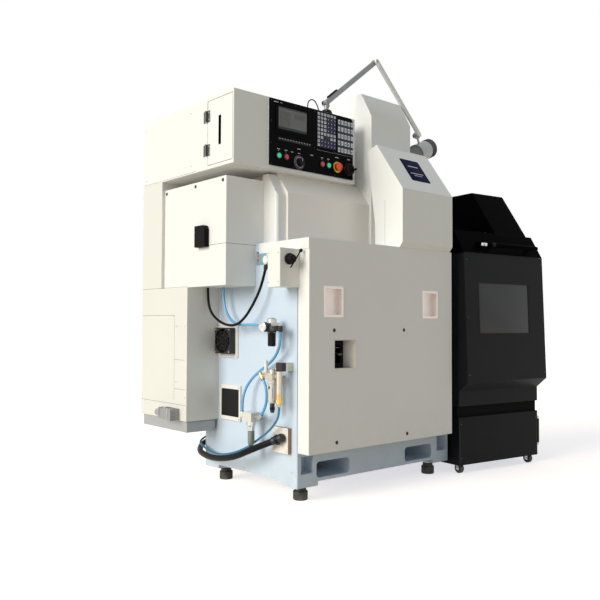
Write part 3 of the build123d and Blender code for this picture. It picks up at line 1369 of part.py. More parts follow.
for side_name, left in zip(("left", "right"), caster_lefts):
    fork_piece = caster_fork(left)
    fork_piece.label = f"caster_fork_{side_name}"
    export_step(fork_piece, f"parts/caster_fork_{side_name}.step")
    with BuildPart() as caster_wheel:
        hub_spot = unit.from_local_coords(Vector(left, wheel_back, caster_wheel_radius))
        turn([(axle_radius + clearance / 4, -half_tread), (12, -half_tread), (14, -half_tread + 3),
              (17, -half_tread + 3), (19, -half_tread), (caster_wheel_radius - 2, -half_tread),
              (caster_wheel_radius, -half_tread + 3), (caster_wheel_radius, half_tread - 3),
              (caster_wheel_radius - 2, half_tread), (19, half_tread), (17, half_tread - 3),
              (14, half_tread - 3), (12, half_tread), (axle_radius + clearance / 4, half_tread)],
             hub_spot, unit.x_dir)
    wheel_piece = caster_wheel.part
    wheel_piece.label = f"caster_wheel_{side_name}"
    export_step(wheel_piece, f"parts/caster_wheel_{side_name}.step")

with BuildPart() as rear_wheels:
    for left in caster_lefts:
        turn([(0, left - 10), (caster_wheel_radius - 2, left - 10), (caster_wheel_radius, left - 7),
              (caster_wheel_radius, left + 7), (caster_wheel_radius - 2, left + 10), (0, left + 10)],
             unit.from_local_coords(Vector(0, rear_wheel_back, caster_wheel_radius)),
             unit.x_dir)
    turn([(0, caster_lefts[0] - 24), (axle_radius, caster_lefts[0] - 24), (axle_radius, caster_lefts[1] + 24),
          (0, caster_lefts[1] + 24)],
         unit.from_local_coords(Vector(0, rear_wheel_back, caster_wheel_radius)), unit.x_dir)
rear_wheels.part.label = "rear_wheels"
export_step(rear_wheels.part, "parts/rear_wheels.step")

# Spindle housing with its motor on the bed, and the spindle with its three-jaw chuck
spindle_x = bed_left + spindle_inset_x
spindle_y = bed_front + spindle_inset_y
spindle_place = (spindle_x, spindle_y, bed_top)
housing_height = spindle_base - bed_top
with BuildPart() as spindle_housing:
    turn([(spindle_shaft_radius + clearance, 12), (spindle_shaft_radius + clearance, housing_height),
          (spindle_housing_radius - 14, housing_height), (spindle_housing_radius - 14, 16),
          (spindle_housing_radius, 16), (spindle_housing_radius, 0), (0, 0), (0, 12)],
         spindle_place, upward)
spindle_housing.part.label = "spindle_housing"
export_step(spindle_housing.part, "parts/spindle_housing.step")

chuck_base = housing_height + 1
with BuildPart() as spindle:
    turn([(0, 13), (spindle_shaft_radius, 13), (spindle_shaft_radius, chuck_base), (chuck_radius, chuck_base),
          (chuck_radius, chuck_base + chuck_height), (18, chuck_base + chuck_height), (18, chuck_base + 8),
          (0, chuck_base + 8)], spindle_place, upward)
    jaw_low = bed_top + chuck_base + chuck_height
    with BuildSketch(Plane.XY.offset(jaw_low)):
        with Locations((spindle_x, spindle_y)):
            with PolarLocations(chuck_radius * 0.6, 3):
                Rectangle(chuck_radius * 0.66, jaw_width)
    extrude(amount=jaw_height / 2)
    with BuildSketch(Plane.XY.offset(jaw_low)):
        with Locations((spindle_x, spindle_y)):
            with PolarLocations(chuck_radius * 0.48, 3):
                Rectangle(chuck_radius * 0.36, jaw_width)
    extrude(amount=jaw_height)
spindle.part.label = "spindle"
export_step(spindle.part, "parts/spindle.step")

# Inner column with its two guide rails and the screw between them
column_face = bed_front + inner_column_front
rail_face = column_face - rail_depth
with BuildPart() as inner_column:
    block((spindle_x - inner_column_width / 2, spindle_x + inner_column_width / 2),
          (column_face, column_face + inner_column_depth), (bed_top, inner_column_top))
    for rail in (spindle_x - rail_spacing / 2, spindle_x + rail_spacing / 2):
        block((rail - rail_width / 2, rail + rail_width / 2), (rail_face, column_face),
              (bed_top + rail_foot, inner_column_top - rail_end_gap))
    screw_end = inner_column_height - rail_end_gap
    turn([(0, rail_foot), (feed_screw_radius, rail_foot), (feed_screw_radius, screw_end), (0, screw_end)],
         (spindle_x, column_face - feed_screw_proud, bed_top), upward)
    for low in (bed_top + rail_foot, inner_column_top - rail_end_gap - screw_bearing_height):
        block((spindle_x - screw_bearing_width / 2, spindle_x + screw_bearing_width / 2),
              (rail_face, column_face), (low, low + screw_bearing_height))
inner_column.part.label = "inner_column"
export_step(inner_column.part, "parts/inner_column.step")

# Saddle that travels up and down the rails, with a grooved face for the cross slide
saddle_back = rail_face - clearance
saddle_face = saddle_back - saddle_depth
saddle_half = inner_column_width / 2 - saddle_inset
groove_lows = (saddle_bottom + groove_inset, saddle_bottom + saddle_height - groove_inset - groove_width)
with BuildPart() as saddle:
    block((spindle_x - saddle_half, spindle_x + saddle_half), (saddle_face, saddle_back),
          (saddle_bottom, saddle_bottom + saddle_height))
    for low in groove_lows:
        block((spindle_x - saddle_half, spindle_x + saddle_half), (saddle_face, saddle_face + groove_depth),
              (low, low + groove_width), mode=Mode.SUBTRACT)
saddle.part.label = "saddle"
export_step(saddle.part, "parts/saddle.step")

# Cross slide with ribs that run in the saddle's grooves
slide_back = saddle_face - clearance
slide_face = slide_back - slide_depth
slide_bottom = saddle_bottom + groove_inset
with BuildPart() as cross_slide:
    block((spindle_x - slide_width / 2, spindle_x + slide_width / 2), (slide_face, slide_back),
          (slide_bottom - 4, slide_bottom + slide_height + 4))
    for low in groove_lows:
        block((spindle_x - slide_width / 2, spindle_x + slide_width / 2),
              (slide_back, saddle_face + groove_depth - 2), (low + clearance, low + groove_width - clearance))
    turn([(0, 0), (50, 0), (50, 20), (0, 20)], (spindle_x, slide_face, slide_bottom + slide_height / 2),
         toward_user)
    turn([(0, -20), (14 + clearance, -20), (14 + clearance, 22), (0, 22)],
         (spindle_x, slide_face, slide_bottom + slide_height / 2), toward_user, mode=Mode.SUBTRACT)
cross_slide.part.label = "cross_slide"
export_step(cross_slide.part, "parts/cross_slide.step")

# Indexing turret with its tool holders
turret_z = slide_bottom + slide_height / 2
with BuildPart() as turret:
    turn([(0, 2), (14, 2), (14, 20.5), (turret_radius, 20.5), (turret_radius, 20 + turret_depth),
          (0, 20 + turret_depth)], (spindle_x, slide_face, turret_z), toward_user)
    with BuildSketch(Plane.XZ.offset(-slide_face + 32)):
        with Locations((spindle_x, turret_z)):
            with PolarLocations(turret_radius + tool_reach / 2 - 2, turret_stations):
                Rectangle(tool_reach + 4, 16)
    extrude(amount=34)
turret.part.label = "turret"
export_step(turret.part, "parts/turret.step")
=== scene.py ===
"""Looks of a compact vertical lathe with its control box, air units, work lamp and rolling chip unit."""
import logging
import math
from dataclasses import dataclass, field, replace
from enum import Enum
from typing import Sequence

import bmesh
import bpy
import numpy as np
from mathutils import Matrix, Vector


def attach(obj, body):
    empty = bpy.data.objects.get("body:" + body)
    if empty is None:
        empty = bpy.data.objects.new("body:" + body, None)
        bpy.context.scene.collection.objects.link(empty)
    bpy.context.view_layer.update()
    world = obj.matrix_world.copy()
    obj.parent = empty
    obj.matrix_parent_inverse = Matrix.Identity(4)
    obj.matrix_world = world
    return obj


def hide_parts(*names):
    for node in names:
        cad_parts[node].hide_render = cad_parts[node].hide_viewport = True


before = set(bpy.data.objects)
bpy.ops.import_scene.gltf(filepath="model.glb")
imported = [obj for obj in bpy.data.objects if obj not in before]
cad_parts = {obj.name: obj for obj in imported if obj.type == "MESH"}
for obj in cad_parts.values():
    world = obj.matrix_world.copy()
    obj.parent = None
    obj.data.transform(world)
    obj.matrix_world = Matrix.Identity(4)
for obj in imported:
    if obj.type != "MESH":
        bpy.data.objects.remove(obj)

Triple = tuple[float, float, float]
Pair = tuple[float, float]
Path = Sequence[Sequence[float]]

MM = 0.001
MERGE = MM / 100
CREASE = math.radians(32)
IOR = 1.45
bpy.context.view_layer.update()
log = logging.getLogger("vertical_lathe")


class Side(Enum):
    """The ways a face can look, as its directions across, up and out."""

    LEFT = ((0, -1, 0), (0, 0, 1), (-1, 0, 0))
    RIGHT = ((0, 1, 0), (0, 0, 1), (1, 0, 0))
    FRONT = ((1, 0, 0), (0, 0, 1), (0, -1, 0))
    BACK = ((-1, 0, 0), (0, 0, 1), (0, 1, 0))
    TOP = ((1, 0, 0), (0, 1, 0), (0, 0, 1))
    UNDER = ((1, 0, 0), (0, -1, 0), (0, 0, -1))

    @property
    def out(self) -> Triple:
        """Give the direction that the face looks."""
        return self.value[2]


class Slot(Enum):
    """The material slots of the part."""

    IVORY_PAINT = "ivory_paint"
    CASTING_PAINT = "casting_paint"
    BLACK_PAINT = "black_paint"
    BLUE_TUBE = "blue_tube"
    BLACK_PLASTIC = "black_plastic"
    RUBBER = "rubber"
    CHROME = "chrome"
    STEEL = "steel"
    IRON = "iron"
    LAMP_METAL = "lamp_metal"
    SCREEN_GLASS = "screen_glass"
    BLACK_HOSE = "black_hose"
    GREY_PAINT = "grey_paint"
    GREEN_PLASTIC = "green_plastic"
    RED_PLASTIC = "red_plastic"
    KEY_PLASTIC = "key_plastic"


class Stiffness(Enum):
    """How readily a cord bends."""

    MEDIUM = "medium"
    STIFF = "stiff"


@dataclass(frozen=True)
class Seat:
    """A place on the machine, in millimetres, with its directions across, up and out."""

    origin: Sequence[float]
    across: Sequence[float]
    up: Sequence[float]
    out: Sequence[float]

    @classmethod
    def on(cls, side: Side, *origin: float) -> "Seat":
        """Put a seat on a face that looks one of the six ways."""
        return cls(origin, *side.value)

    @classmethod
    def row(cls, side: Side, level: float, *places: Pair) -> list["Seat"]:
        """Put seats on the plane at a level of a side's axis, from their other two coordinates."""
        axis = [abs(part) for part in side.out].index(1)
        return [cls.on(side, *place[:axis], level, *place[axis:]) for place in places]

    @classmethod
    def towards(cls, origin: Sequence[float], out: Sequence[float],
                hint: Sequence[float] = (0, 0, 1)) -> "Seat":
        """Put a seat that looks any way.

        Args:
            origin: The place, in millimetres.
            out: The direction that the seat looks.
            hint: A direction that comes out as up as nearly as it can.

        Returns:
            The seat, with across worked out as hint x out, and up as out x across.
        """
        way = np.array(out, float) / np.linalg.norm(out)
        across = np.cross(hint, way)
        across /= np.linalg.norm(across)
        return cls(origin, across, np.cross(way, across), way)

    def place(self, points: np.ndarray) -> np.ndarray:
        """Carry local points here: origin + x across + y up + z out."""
        return np.array(self.origin, float) + points @ np.array([self.across, self.up, self.out], float)

    def moved(self, across: float = 0, up: float = 0, out: float = 0) -> "Seat":
        """Shift the seat along its own directions."""
        return replace(self, origin=self.place(np.array([across, up, out], float)))

    def rolled(self, degrees: float, reach: float = 0) -> "Seat":
        """Turn the seat about its out direction.

        Args:
            degrees: The angle from its across direction at which up comes to point.
            reach: How far the turned seat is then shifted up.

        Returns:
            The turned seat.
        """
        angle = math.radians(degrees)
        up = np.array(self.across) * math.cos(angle) + np.array(self.up) * math.sin(angle)
        return replace(self, across=np.cross(up, self.out), up=up).moved(up=reach)


@dataclass
class Surface:
    """Grids of points, in millimetres, that become the faces of one mesh."""

    points: list[np.ndarray] = field(default_factory=list)
    quads: list[np.ndarray] = field(default_factory=list)
    caps: list[list[int]] = field(default_factory=list)
    count: int = 0

    def grid(self, points: np.ndarray, around: bool = False, along: bool = False,
             capped: bool = False) -> "Surface":
        """Add a grid of points, joined to its neighbours row by row.

        Args:
            points: Rows of points, shaped (rows, columns, 3).
            around: Whether the last column joins the first.
            along: Whether the last row joins the first.
            capped: Whether the first and last rows are closed by a flat face.

        Returns:
            The surface itself.
        """
        rows, columns = points.shape[:2]
        row, column = np.meshgrid(np.arange(rows - (not along)), np.arange(columns - (not around)),
                                  indexing="ij")
        next_row, next_column = (row + 1) % rows, (column + 1) % columns
        corners = (row * columns + column, next_row * columns + column,
                   next_row * columns + next_column, row * columns + next_column)
        self.quads.append(np.stack(corners, axis=-1).reshape(-1, 4) + self.count)
        if capped:
            first = np.arange(columns) + self.count
            self.caps += [first[::-1].tolist(), (first + (rows - 1) * columns).tolist()]
        self.points.append(points.reshape(-1, 3))
        self.count += rows * columns
        return self

    def __add__(self, other: "Surface") -> "Surface":
        """Join two surfaces.

        Args:
            other: The surface whose points and faces come second.

        Returns:
            A new surface.
        """
        quads = [quads + self.count for quads in other.quads]
        caps = [[index + self.count for index in cap] for cap in other.caps]
        return Surface(self.points + other.points, self.quads + quads, self.caps + caps,
                       self.count + other.count)

    def seated(self, *seats: Seat) -> "Surface":
        """Make a copy of the surface at each seat."""
        return joined(Surface([seat.place(grid) for grid in self.points], self.quads, self.caps, self.count)
                      for seat in seats)

    def mesh(self, name: str) -> bpy.types.Mesh:
        """Make an outward mesh of the surface in metres.

        Args:
            name: The mesh's name.

        Returns:
            The mesh, with its doubled points merged and its edges past the crease angle sharp.
        """
        mesh = bpy.data.meshes.new(name)
        faces = np.concatenate(self.quads).tolist() + self.caps
        mesh.from_pydata((np.concatenate(self.points) * MM).tolist(), [], faces)
        work = bmesh.new()
        work.from_mesh(mesh)
        bmesh.ops.remove_doubles(work, verts=work.verts, dist=MERGE)
        bmesh.ops.recalc_face_normals(work, faces=work.faces)
        work.to_mesh(mesh)
        work.free()
        mesh.polygons.foreach_set("use_smooth", np.ones(len(mesh.polygons), bool))
        mesh.set_sharp_from_angle(angle=CREASE)
        mesh.update()
        return mesh


def joined(parts: Sequence[Surface]) -> Surface:
    """Join any number of surfaces into one."""
    return sum(parts, Surface())


def turned(profile: Path, steps: int = 32, ring: bool = False, sides: int = 6) -> Surface:
    """Turn a profile about the out direction, with flats where a level asks for them.

    Formula: the point at angle t is (q cos t, q sin t, h), where q = r (1 - p + p f(t)) and
    f(t) = cos(pi / n) / cos((t mod 2 pi / n) - pi / n).

    Args:
        profile: Levels of (radius r, height h) or of (radius, height, share p of the polygon).
        steps: The number of angles.
        ring: Whether the profile is a closed loop that stays off the axis.
        sides: The number n of the polygon's sides.

    Returns:
        The surface, such as a ring, a nut or a head with a socket.
    """
    angle = np.linspace(0, 2 * math.pi, steps, endpoint=False)[None, :]
    radius, height, share = np.array([(*level, 0)[:3] for level in profile], float).T[:, :, None]
    half = math.pi / sides
    flat = math.cos(half) / np.cos(np.mod(angle, 2 * half) - half)
    reach = radius * (1 - share + share * flat)
    points = np.stack([reach * np.cos(angle), reach * np.sin(angle), height + 0 * angle], axis=-1)
    return Surface().grid(points, around=True, along=ring)


def rings(width: float, height: float, corner: float, levels: Path) -> np.ndarray:
    """Stack rounded rectangles, each grown by its offset and lifted to its height.

    Formula: ring o has the corner radius c = max(corner + o, 0.05), and each of its corners is an arc
    c (cos t, sin t) about its own centre (+-(w/2 + o - c), +-(h/2 + o - c)).

    Args:
        width: Width w at no offset.
        height: Height h at no offset.
        corner: Corner radius at no offset.
        levels: Points of (offset o, height).

    Returns:
        Points shaped (levels, 24, 3), anticlockwise.
    """
    offset, rise = np.array(levels, float).T[:, :, None, None]
    quarter = np.arange(4)[:, None] * (math.pi / 2)
    angle = quarter + np.linspace(0, math.pi / 2, 6)
    radius = np.maximum(corner + offset, 0.05)
    centre = width / 2 + offset - radius, height / 2 + offset - radius
    across = np.sign(np.cos(quarter + math.pi / 4)) * centre[0] + radius * np.cos(angle)
    up = np.sign(np.sin(quarter + math.pi / 4)) * centre[1] + radius * np.sin(angle)
    return np.stack([across, up, rise + 0 * across], axis=-1).reshape(len(levels), -1, 3)


def plate(width: float, height: float, corner: float, thickness: float, edge: float,
          base: float = 0.0) -> Surface:
    """Make a rounded plate whose upper edge is a quarter circle of the given radius.

    Formula: rings at offset e (cos t - 1) and height b + d - e + e sin t, for t from 0 to 90 degrees.

    Args:
        width: Full width.
        height: Full height.
        corner: Corner radius.
        thickness: The plate's thickness d.
        edge: The radius e of its upper edge.
        base: The height b of its underside.

    Returns:
        A closed surface.
    """
    turn = np.linspace(0, math.pi / 2, 4)
    upper = np.column_stack([edge * (np.cos(turn) - 1), base + thickness - edge + edge * np.sin(turn)])
    levels = np.vstack([[(0.0, base)], upper])
    return Surface().grid(rings(width, height, corner, levels), around=True, capped=True)


def border(width: float, height: float, corner: float, section: Path) -> Surface:
    """Carry a closed section round a rounded rectangle: the rings of its points, joined both ways."""
    return Surface().grid(rings(width, height, corner, section), around=True, along=True)


def carried(section: np.ndarray, path: Path, normal: Triple) -> Surface:
    """Carry a section along a flat path.

    Formula: with unit tangent T and fixed normal N, the point is path + u (T x N) + v N, with u
    stretched by the path's half turn at a corner, so that the section keeps its width there.

    Args:
        section: Closed section, shaped (n, 2), as (u, v).
        path: Points of the path.
        normal: The unit normal N of the path's plane.

    Returns:
        A closed surface.
    """
    path = np.array(path, float)
    step = np.diff(path, axis=0)
    step /= np.linalg.norm(step, axis=1, keepdims=True)
    first = np.vstack([step[:1], step])
    tangent = first + np.vstack([step, step[-1:]])
    tangent /= np.linalg.norm(tangent, axis=1, keepdims=True)
    stretch = 1 / np.clip((tangent * first).sum(axis=1), 0.3, 1)
    side = np.cross(tangent, normal) * stretch[:, None]
    points = path[:, None] + section[:, :1] * side[:, None] + section[:, 1:] * np.array(normal, float)
    return Surface().grid(points, around=True, capped=True)


def seam(width: float, rise: float, path: Path, normal: Triple) -> Surface:
    """Lay a low seam, seal or rule along a path.

    Formula: its section is half an ellipse (w/2 cos t, r sin t) on a short foot.

    Args:
        width: The seam's width w.
        rise: How far r it stands out.
        path: Points of the path.
        normal: The way the seam looks.

    Returns:
        A closed surface.
    """
    angle = np.linspace(0, math.pi, 7)
    arch = np.column_stack([width / 2 * np.cos(angle), rise * np.sin(angle)])
    return carried(np.vstack([arch, [(-width / 2, -0.4), (width / 2, -0.4)]]), path, normal)


def wire(radius: float, bend: float, corners: Path, normal: Triple) -> Surface:
    """Bend a round wire along a flat path.

    Formula: each corner P becomes the curve (1-s)^2 A + 2 s (1-s) P + s^2 B, where A and B lie the
    bend away from P on its two runs, and the section is radius (cos t, sin t).

    Args:
        radius: The wire's radius.
        bend: How far from a corner the curve starts.
        corners: The path's corners.
        normal: The unit normal of the path's plane.

    Returns:
        A closed surface.
    """
    corners = np.array(corners, float)
    middle, s = corners[1:-1], np.linspace(0, 1, 6)[None, :, None]
    before, after = corners[:-2] - middle, corners[2:] - middle
    start = middle + bend * before / np.linalg.norm(before, axis=1, keepdims=True)
    end = middle + bend * after / np.linalg.norm(after, axis=1, keepdims=True)
    curve = (1 - s) ** 2 * start[:, None] + 2 * s * (1 - s) * middle[:, None] + s**2 * end[:, None]
    angle = np.linspace(0, 2 * math.pi, 10, endpoint=False)
    section = radius * np.column_stack([np.cos(angle), np.sin(angle)])
    return carried(section, np.vstack([corners[:1], curve.reshape(-1, 3), corners[-1:]]), normal)


def socket_screw(radius: float, rise: float, socket: float = 0.5) -> Surface:
    """Make a low screw head with a hexagon socket, standing on its seat.

    Args:
        radius: The head's radius.
        rise: The head's height.
        socket: The socket's size as a share of the radius.

    Returns:
        The head.
    """
    key = radius * socket
    return turned([(0, -0.4), (radius, -0.4), (radius, rise * 0.45), (radius * 0.9, rise * 0.85),
                   (radius * 0.74, rise), (key * 1.12, rise, 0.6), (key, rise * 0.9, 1),
                   (key, rise * 0.2, 1), (0, rise * 0.2)], 24)


def hex_nut(radius: float, rise: float, bore: float) -> Surface:
    """Make a hexagon nut with chamfered corners round a bore."""
    return turned([(bore, 0), (radius * 0.9, 0), (radius, rise * 0.12, 1), (radius, rise * 0.88, 1),
                   (radius * 0.9, rise), (bore, rise)], 36) + turned([(bore, 0), (bore, rise)], 36)


class Graph:
    """Short ways to add nodes to a tree and to join them."""

    def __init__(self, tree: bpy.types.NodeTree) -> None:
        """Work on the given tree."""
        self.tree = tree

    def put(self, node: bpy.types.Node, inputs: dict) -> bpy.types.Node:
        """Fill a node's sockets.

        Args:
            node: The node.
            inputs: What goes into its sockets, by name or number: a socket to join or a plain value.

        Returns:
            The node.
        """
        for name, value in inputs.items():
            if isinstance(value, bpy.types.NodeSocket):
                self.tree.links.new(value, node.inputs[name])
            else:
                node.inputs[name].default_value = value
        return node

    def add(self, kind: str, inputs: dict | None = None, **settings: object) -> bpy.types.NodeOutputs:
        """Add a node.

        Args:
            kind: The node's type.
            inputs: What goes into its sockets.
            settings: The node's own settings.

        Returns:
            The node's outputs.
        """
        node = self.tree.nodes.new(kind)
        for name, value in settings.items():
            setattr(node, name, value)
        return self.put(node, inputs or {}).outputs

    def use(self, group: bpy.types.NodeTree, **values: object) -> bpy.types.NodeOutputs:
        """Add one of the shared groups and give its outputs."""
        return self.add("ShaderNodeGroup", values, node_tree=group)

    def math(self, operation: str, *values: object) -> bpy.types.NodeSocket:
        """Add a Math node and give its result."""
        return self.add("ShaderNodeMath", dict(enumerate(values)), operation=operation)[0]

    def product(self, *values: object) -> bpy.types.NodeSocket:
        """Multiply two numbers."""
        return self.math("MULTIPLY", *values)

    def vector(self, operation: str, *values: object, output: object = 0) -> bpy.types.NodeSocket:
        """Add a Vector Math node and give its result."""
        return self.add("ShaderNodeVectorMath", dict(enumerate(values)), operation=operation)[output]

    def parts(self, vector: object) -> bpy.types.NodeOutputs:
        """Give the three parts of a vector."""
        return self.add("ShaderNodeSeparateXYZ", {0: vector})

    def blend(self, share: object, first: object, second: object) -> bpy.types.NodeSocket:
        """Mix two numbers by a share."""
        return self.add("ShaderNodeMix", {0: share, 2: first, 3: second}, data_type="FLOAT")[0]

    def tint(self, share: object, first: object, second: object) -> bpy.types.NodeSocket:
        """Mix two colours by a share."""
        return self.add("ShaderNodeMix", {0: share, 6: first, 7: second}, data_type="RGBA")[2]

    def spot(self) -> bpy.types.NodeSocket:
        """Give the place on the object, in metres."""
        return self.add("ShaderNodeTexCoord")["Object"]

    def noise(self, scale: object, detail: float, spot: object = None) -> bpy.types.NodeSocket:
        """Give a noise of the place, about 0.5 on average."""
        inputs = {"Vector": spot or self.spot(), "Scale": scale, "Detail": detail}
        return self.add("ShaderNodeTexNoise", inputs)["Fac"]

    def ramp(self, value: object, low: object, high: object) -> bpy.types.NodeSocket:
        """Give how far a value is from low to high, held between 0 and 1."""
        inputs = {"Value": value, "From Min": low, "From Max": high}
        return self.add("ShaderNodeMapRange", inputs, clamp=True)["Result"]


class Effects:
    """The shader groups that several finishes use, each built once."""

    SOCKETS = {1: "NodeSocketFloat", 3: "NodeSocketVector", 4: "NodeSocketColor"}

    def __init__(self) -> None:
        """Build every group."""
        self.drift = self._tone_drift()
        self.grain = self._surface_grain()
        self.rub = self._edge_rub()
        self.dust = self._floor_dust()
        self.zone = self._box_zone()
        self.legend = self._key_legend()

    def _start(self, name: str, **inputs: object) -> tuple[Graph, bpy.types.NodeOutputs]:
        """Start a group.

        Args:
            name: The group's name.
            inputs: Each input's default, whose length says whether it is a number, a vector or a colour.

        Returns:
            The group's graph and what comes in.
        """
        tree = bpy.data.node_groups.new(name, "ShaderNodeTree")
        for label, value in inputs.items():
            kind = self.SOCKETS[np.size(value)]
            tree.interface.new_socket(label, in_out="INPUT", socket_type=kind).default_value = value
        graph = Graph(tree)
        return graph, graph.add("NodeGroupInput")

    def _end(self, graph: Graph, **results: tuple[bpy.types.NodeSocket, int]) -> bpy.types.NodeTree:
        """Close a group.

        Args:
            graph: The group's graph.
            results: Each output's source and its length, 1 for a number and 4 for a colour.

        Returns:
            The group.
        """
        for label, (_, length) in results.items():
            graph.tree.interface.new_socket(label, in_out="OUTPUT", socket_type=self.SOCKETS[length])
        graph.add("NodeGroupOutput", {label: source for label, (source, _) in results.items()})
        return graph.tree

    def _tone_drift(self) -> bpy.types.NodeTree:
        """Make a colour that drifts between two tones, broad and fine."""
        graph, given = self._start("tone_drift", Main=(1, 1, 1, 1), Second=(1, 1, 1, 1), Size=0.3, Amount=0.5)
        broad = graph.noise(graph.math("DIVIDE", 1.0, given["Size"]), 3.0)
        fine = graph.noise(graph.math("DIVIDE", 9.0, given["Size"]), 2.0)
        both = graph.math("ADD", graph.product(broad, 0.75), graph.product(fine, 0.25))
        share = graph.product(graph.ramp(both, 0.32, 0.68), given["Amount"])
        return self._end(graph, Color=(graph.tint(share, given["Main"], given["Second"]), 4))

    def _surface_grain(self) -> bpy.types.NodeTree:
        """Make fine relief, stretched if the surface is brushed, and roughness that drifts."""
        graph, given = self._start("surface_grain", Size=0.002, Stretch=(1, 1, 1), Roughness=0.5, Drift=0.1)
        spot = graph.vector("MULTIPLY", graph.spot(), given["Stretch"])
        grain = graph.noise(graph.math("DIVIDE", 1.0, given["Size"]), 2.5, spot)
        shift = graph.math("ADD", graph.math("SUBTRACT", graph.noise(7.0, 4.0), 0.5),
                           graph.product(graph.math("SUBTRACT", grain, 0.5), 0.4))
        rough = graph.math("ADD", given["Roughness"], graph.product(shift, given["Drift"]))
        return self._end(graph, Height=(grain, 1), Roughness=(graph.ramp(rough, 0.0, 1.0), 1))

    def _edge_rub(self) -> bpy.types.NodeTree:
        """Make a mask of the edges that hands and tools rub, broken up by noise."""
        graph, given = self._start("edge_rub", Width=0.002, Amount=0.5)
        soft = graph.add("ShaderNodeBevel", {"Radius": given["Width"]}, samples=4)[0]
        plain = graph.add("ShaderNodeNewGeometry")["Normal"]
        facing = graph.vector("DOT_PRODUCT", soft, plain, output="Value")
        edge = graph.ramp(graph.math("SUBTRACT", 1.0, facing), 0.01, 0.14)
        broken = graph.ramp(graph.noise(45.0, 4.0), 0.42, 0.66)
        return self._end(graph, Mask=(graph.product(graph.product(edge, broken), given["Amount"]), 1))

    def _floor_dust(self) -> bpy.types.NodeTree:
        """Make a mask of the dust that gathers near the floor, thinning upwards."""
        graph, given = self._start("floor_dust", Top=0.3, Amount=0.5)
        share = graph.math("SUBTRACT", 1.0, graph.ramp(graph.parts(graph.spot())["Z"], 0.0, given["Top"]))
        patch = graph.ramp(graph.noise(14.0, 5.0), 0.35, 0.75)
        return self._end(graph, Mask=(graph.product(graph.product(share, patch), given["Amount"]), 1))

    def _box_zone(self) -> bpy.types.NodeTree:
        """Make a mask of a straight box of the object, from its lowest to its highest corner."""
        graph, given = self._start("box_zone", Low=(0, 0, 0), High=(0, 0, 0))
        spot, inside = graph.spot(), []
        for first, second in ((spot, given["Low"]), (given["High"], spot)):
            parts = graph.parts(graph.vector("SUBTRACT", first, second))
            least = graph.math("MINIMUM", graph.math("MINIMUM", parts[0], parts[1]), parts[2])
            inside.append(graph.math("GREATER_THAN", least, 0.0))
        return self._end(graph, Mask=(graph.product(*inside), 1))

    def _key_legend(self) -> bpy.types.NodeTree:
        """Make a mask of small plain marks or whole caps, one in each cell of an upright grid."""
        graph, given = self._start("key_legend", Corner=(0, 0, 0), Pitch=(0.02, 1, 0.02),
                                   Mark=(0.2, 1, 0.15), Dots=9.0, Fill=0.0)
        cell = graph.vector("DIVIDE", graph.vector("SUBTRACT", graph.spot(), given["Corner"]), given["Pitch"])
        centred = graph.vector("SUBTRACT", graph.vector("FRACTION", cell), (0.5, 0.5, 0.5))
        part, room = graph.parts(graph.vector("ABSOLUTE", centred)), graph.parts(given["Mark"])
        inside = graph.product(graph.math("LESS_THAN", part[0], room[0]),
                               graph.math("LESS_THAN", part[2], room[2]))
        scaled = graph.add("ShaderNodeVectorMath", {0: cell, 3: given["Dots"]}, operation="SCALE")[0]
        whole = graph.vector("MULTIPLY", graph.vector("FLOOR", cell), (7, 0, 13))
        seed = graph.vector("ADD", graph.vector("FLOOR", scaled), whole)
        speckle = graph.add("ShaderNodeTexWhiteNoise", {"Vector": seed})["Value"]
        inked = graph.math("MAXIMUM", graph.math("GREATER_THAN", speckle, 0.42), given["Fill"])
        return self._end(graph, Mask=(graph.product(inside, inked), 1))


@dataclass(frozen=True)
class Zone:
    """A box of a node, in millimetres, that has a finish of its own."""

    low: Triple
    high: Triple
    color: Triple
    roughness: float = 0.5
    metallic: float = 0.0


@dataclass(frozen=True)
class Legend:
    """A block of small plain marks or whole caps on keys or on a display, in millimetres."""

    corner: Triple
    pitch: Pair
    mark: Pair
    color: Triple
    low: Triple
    high: Triple
    dots: float = 9.0
    fill: float = 0.0


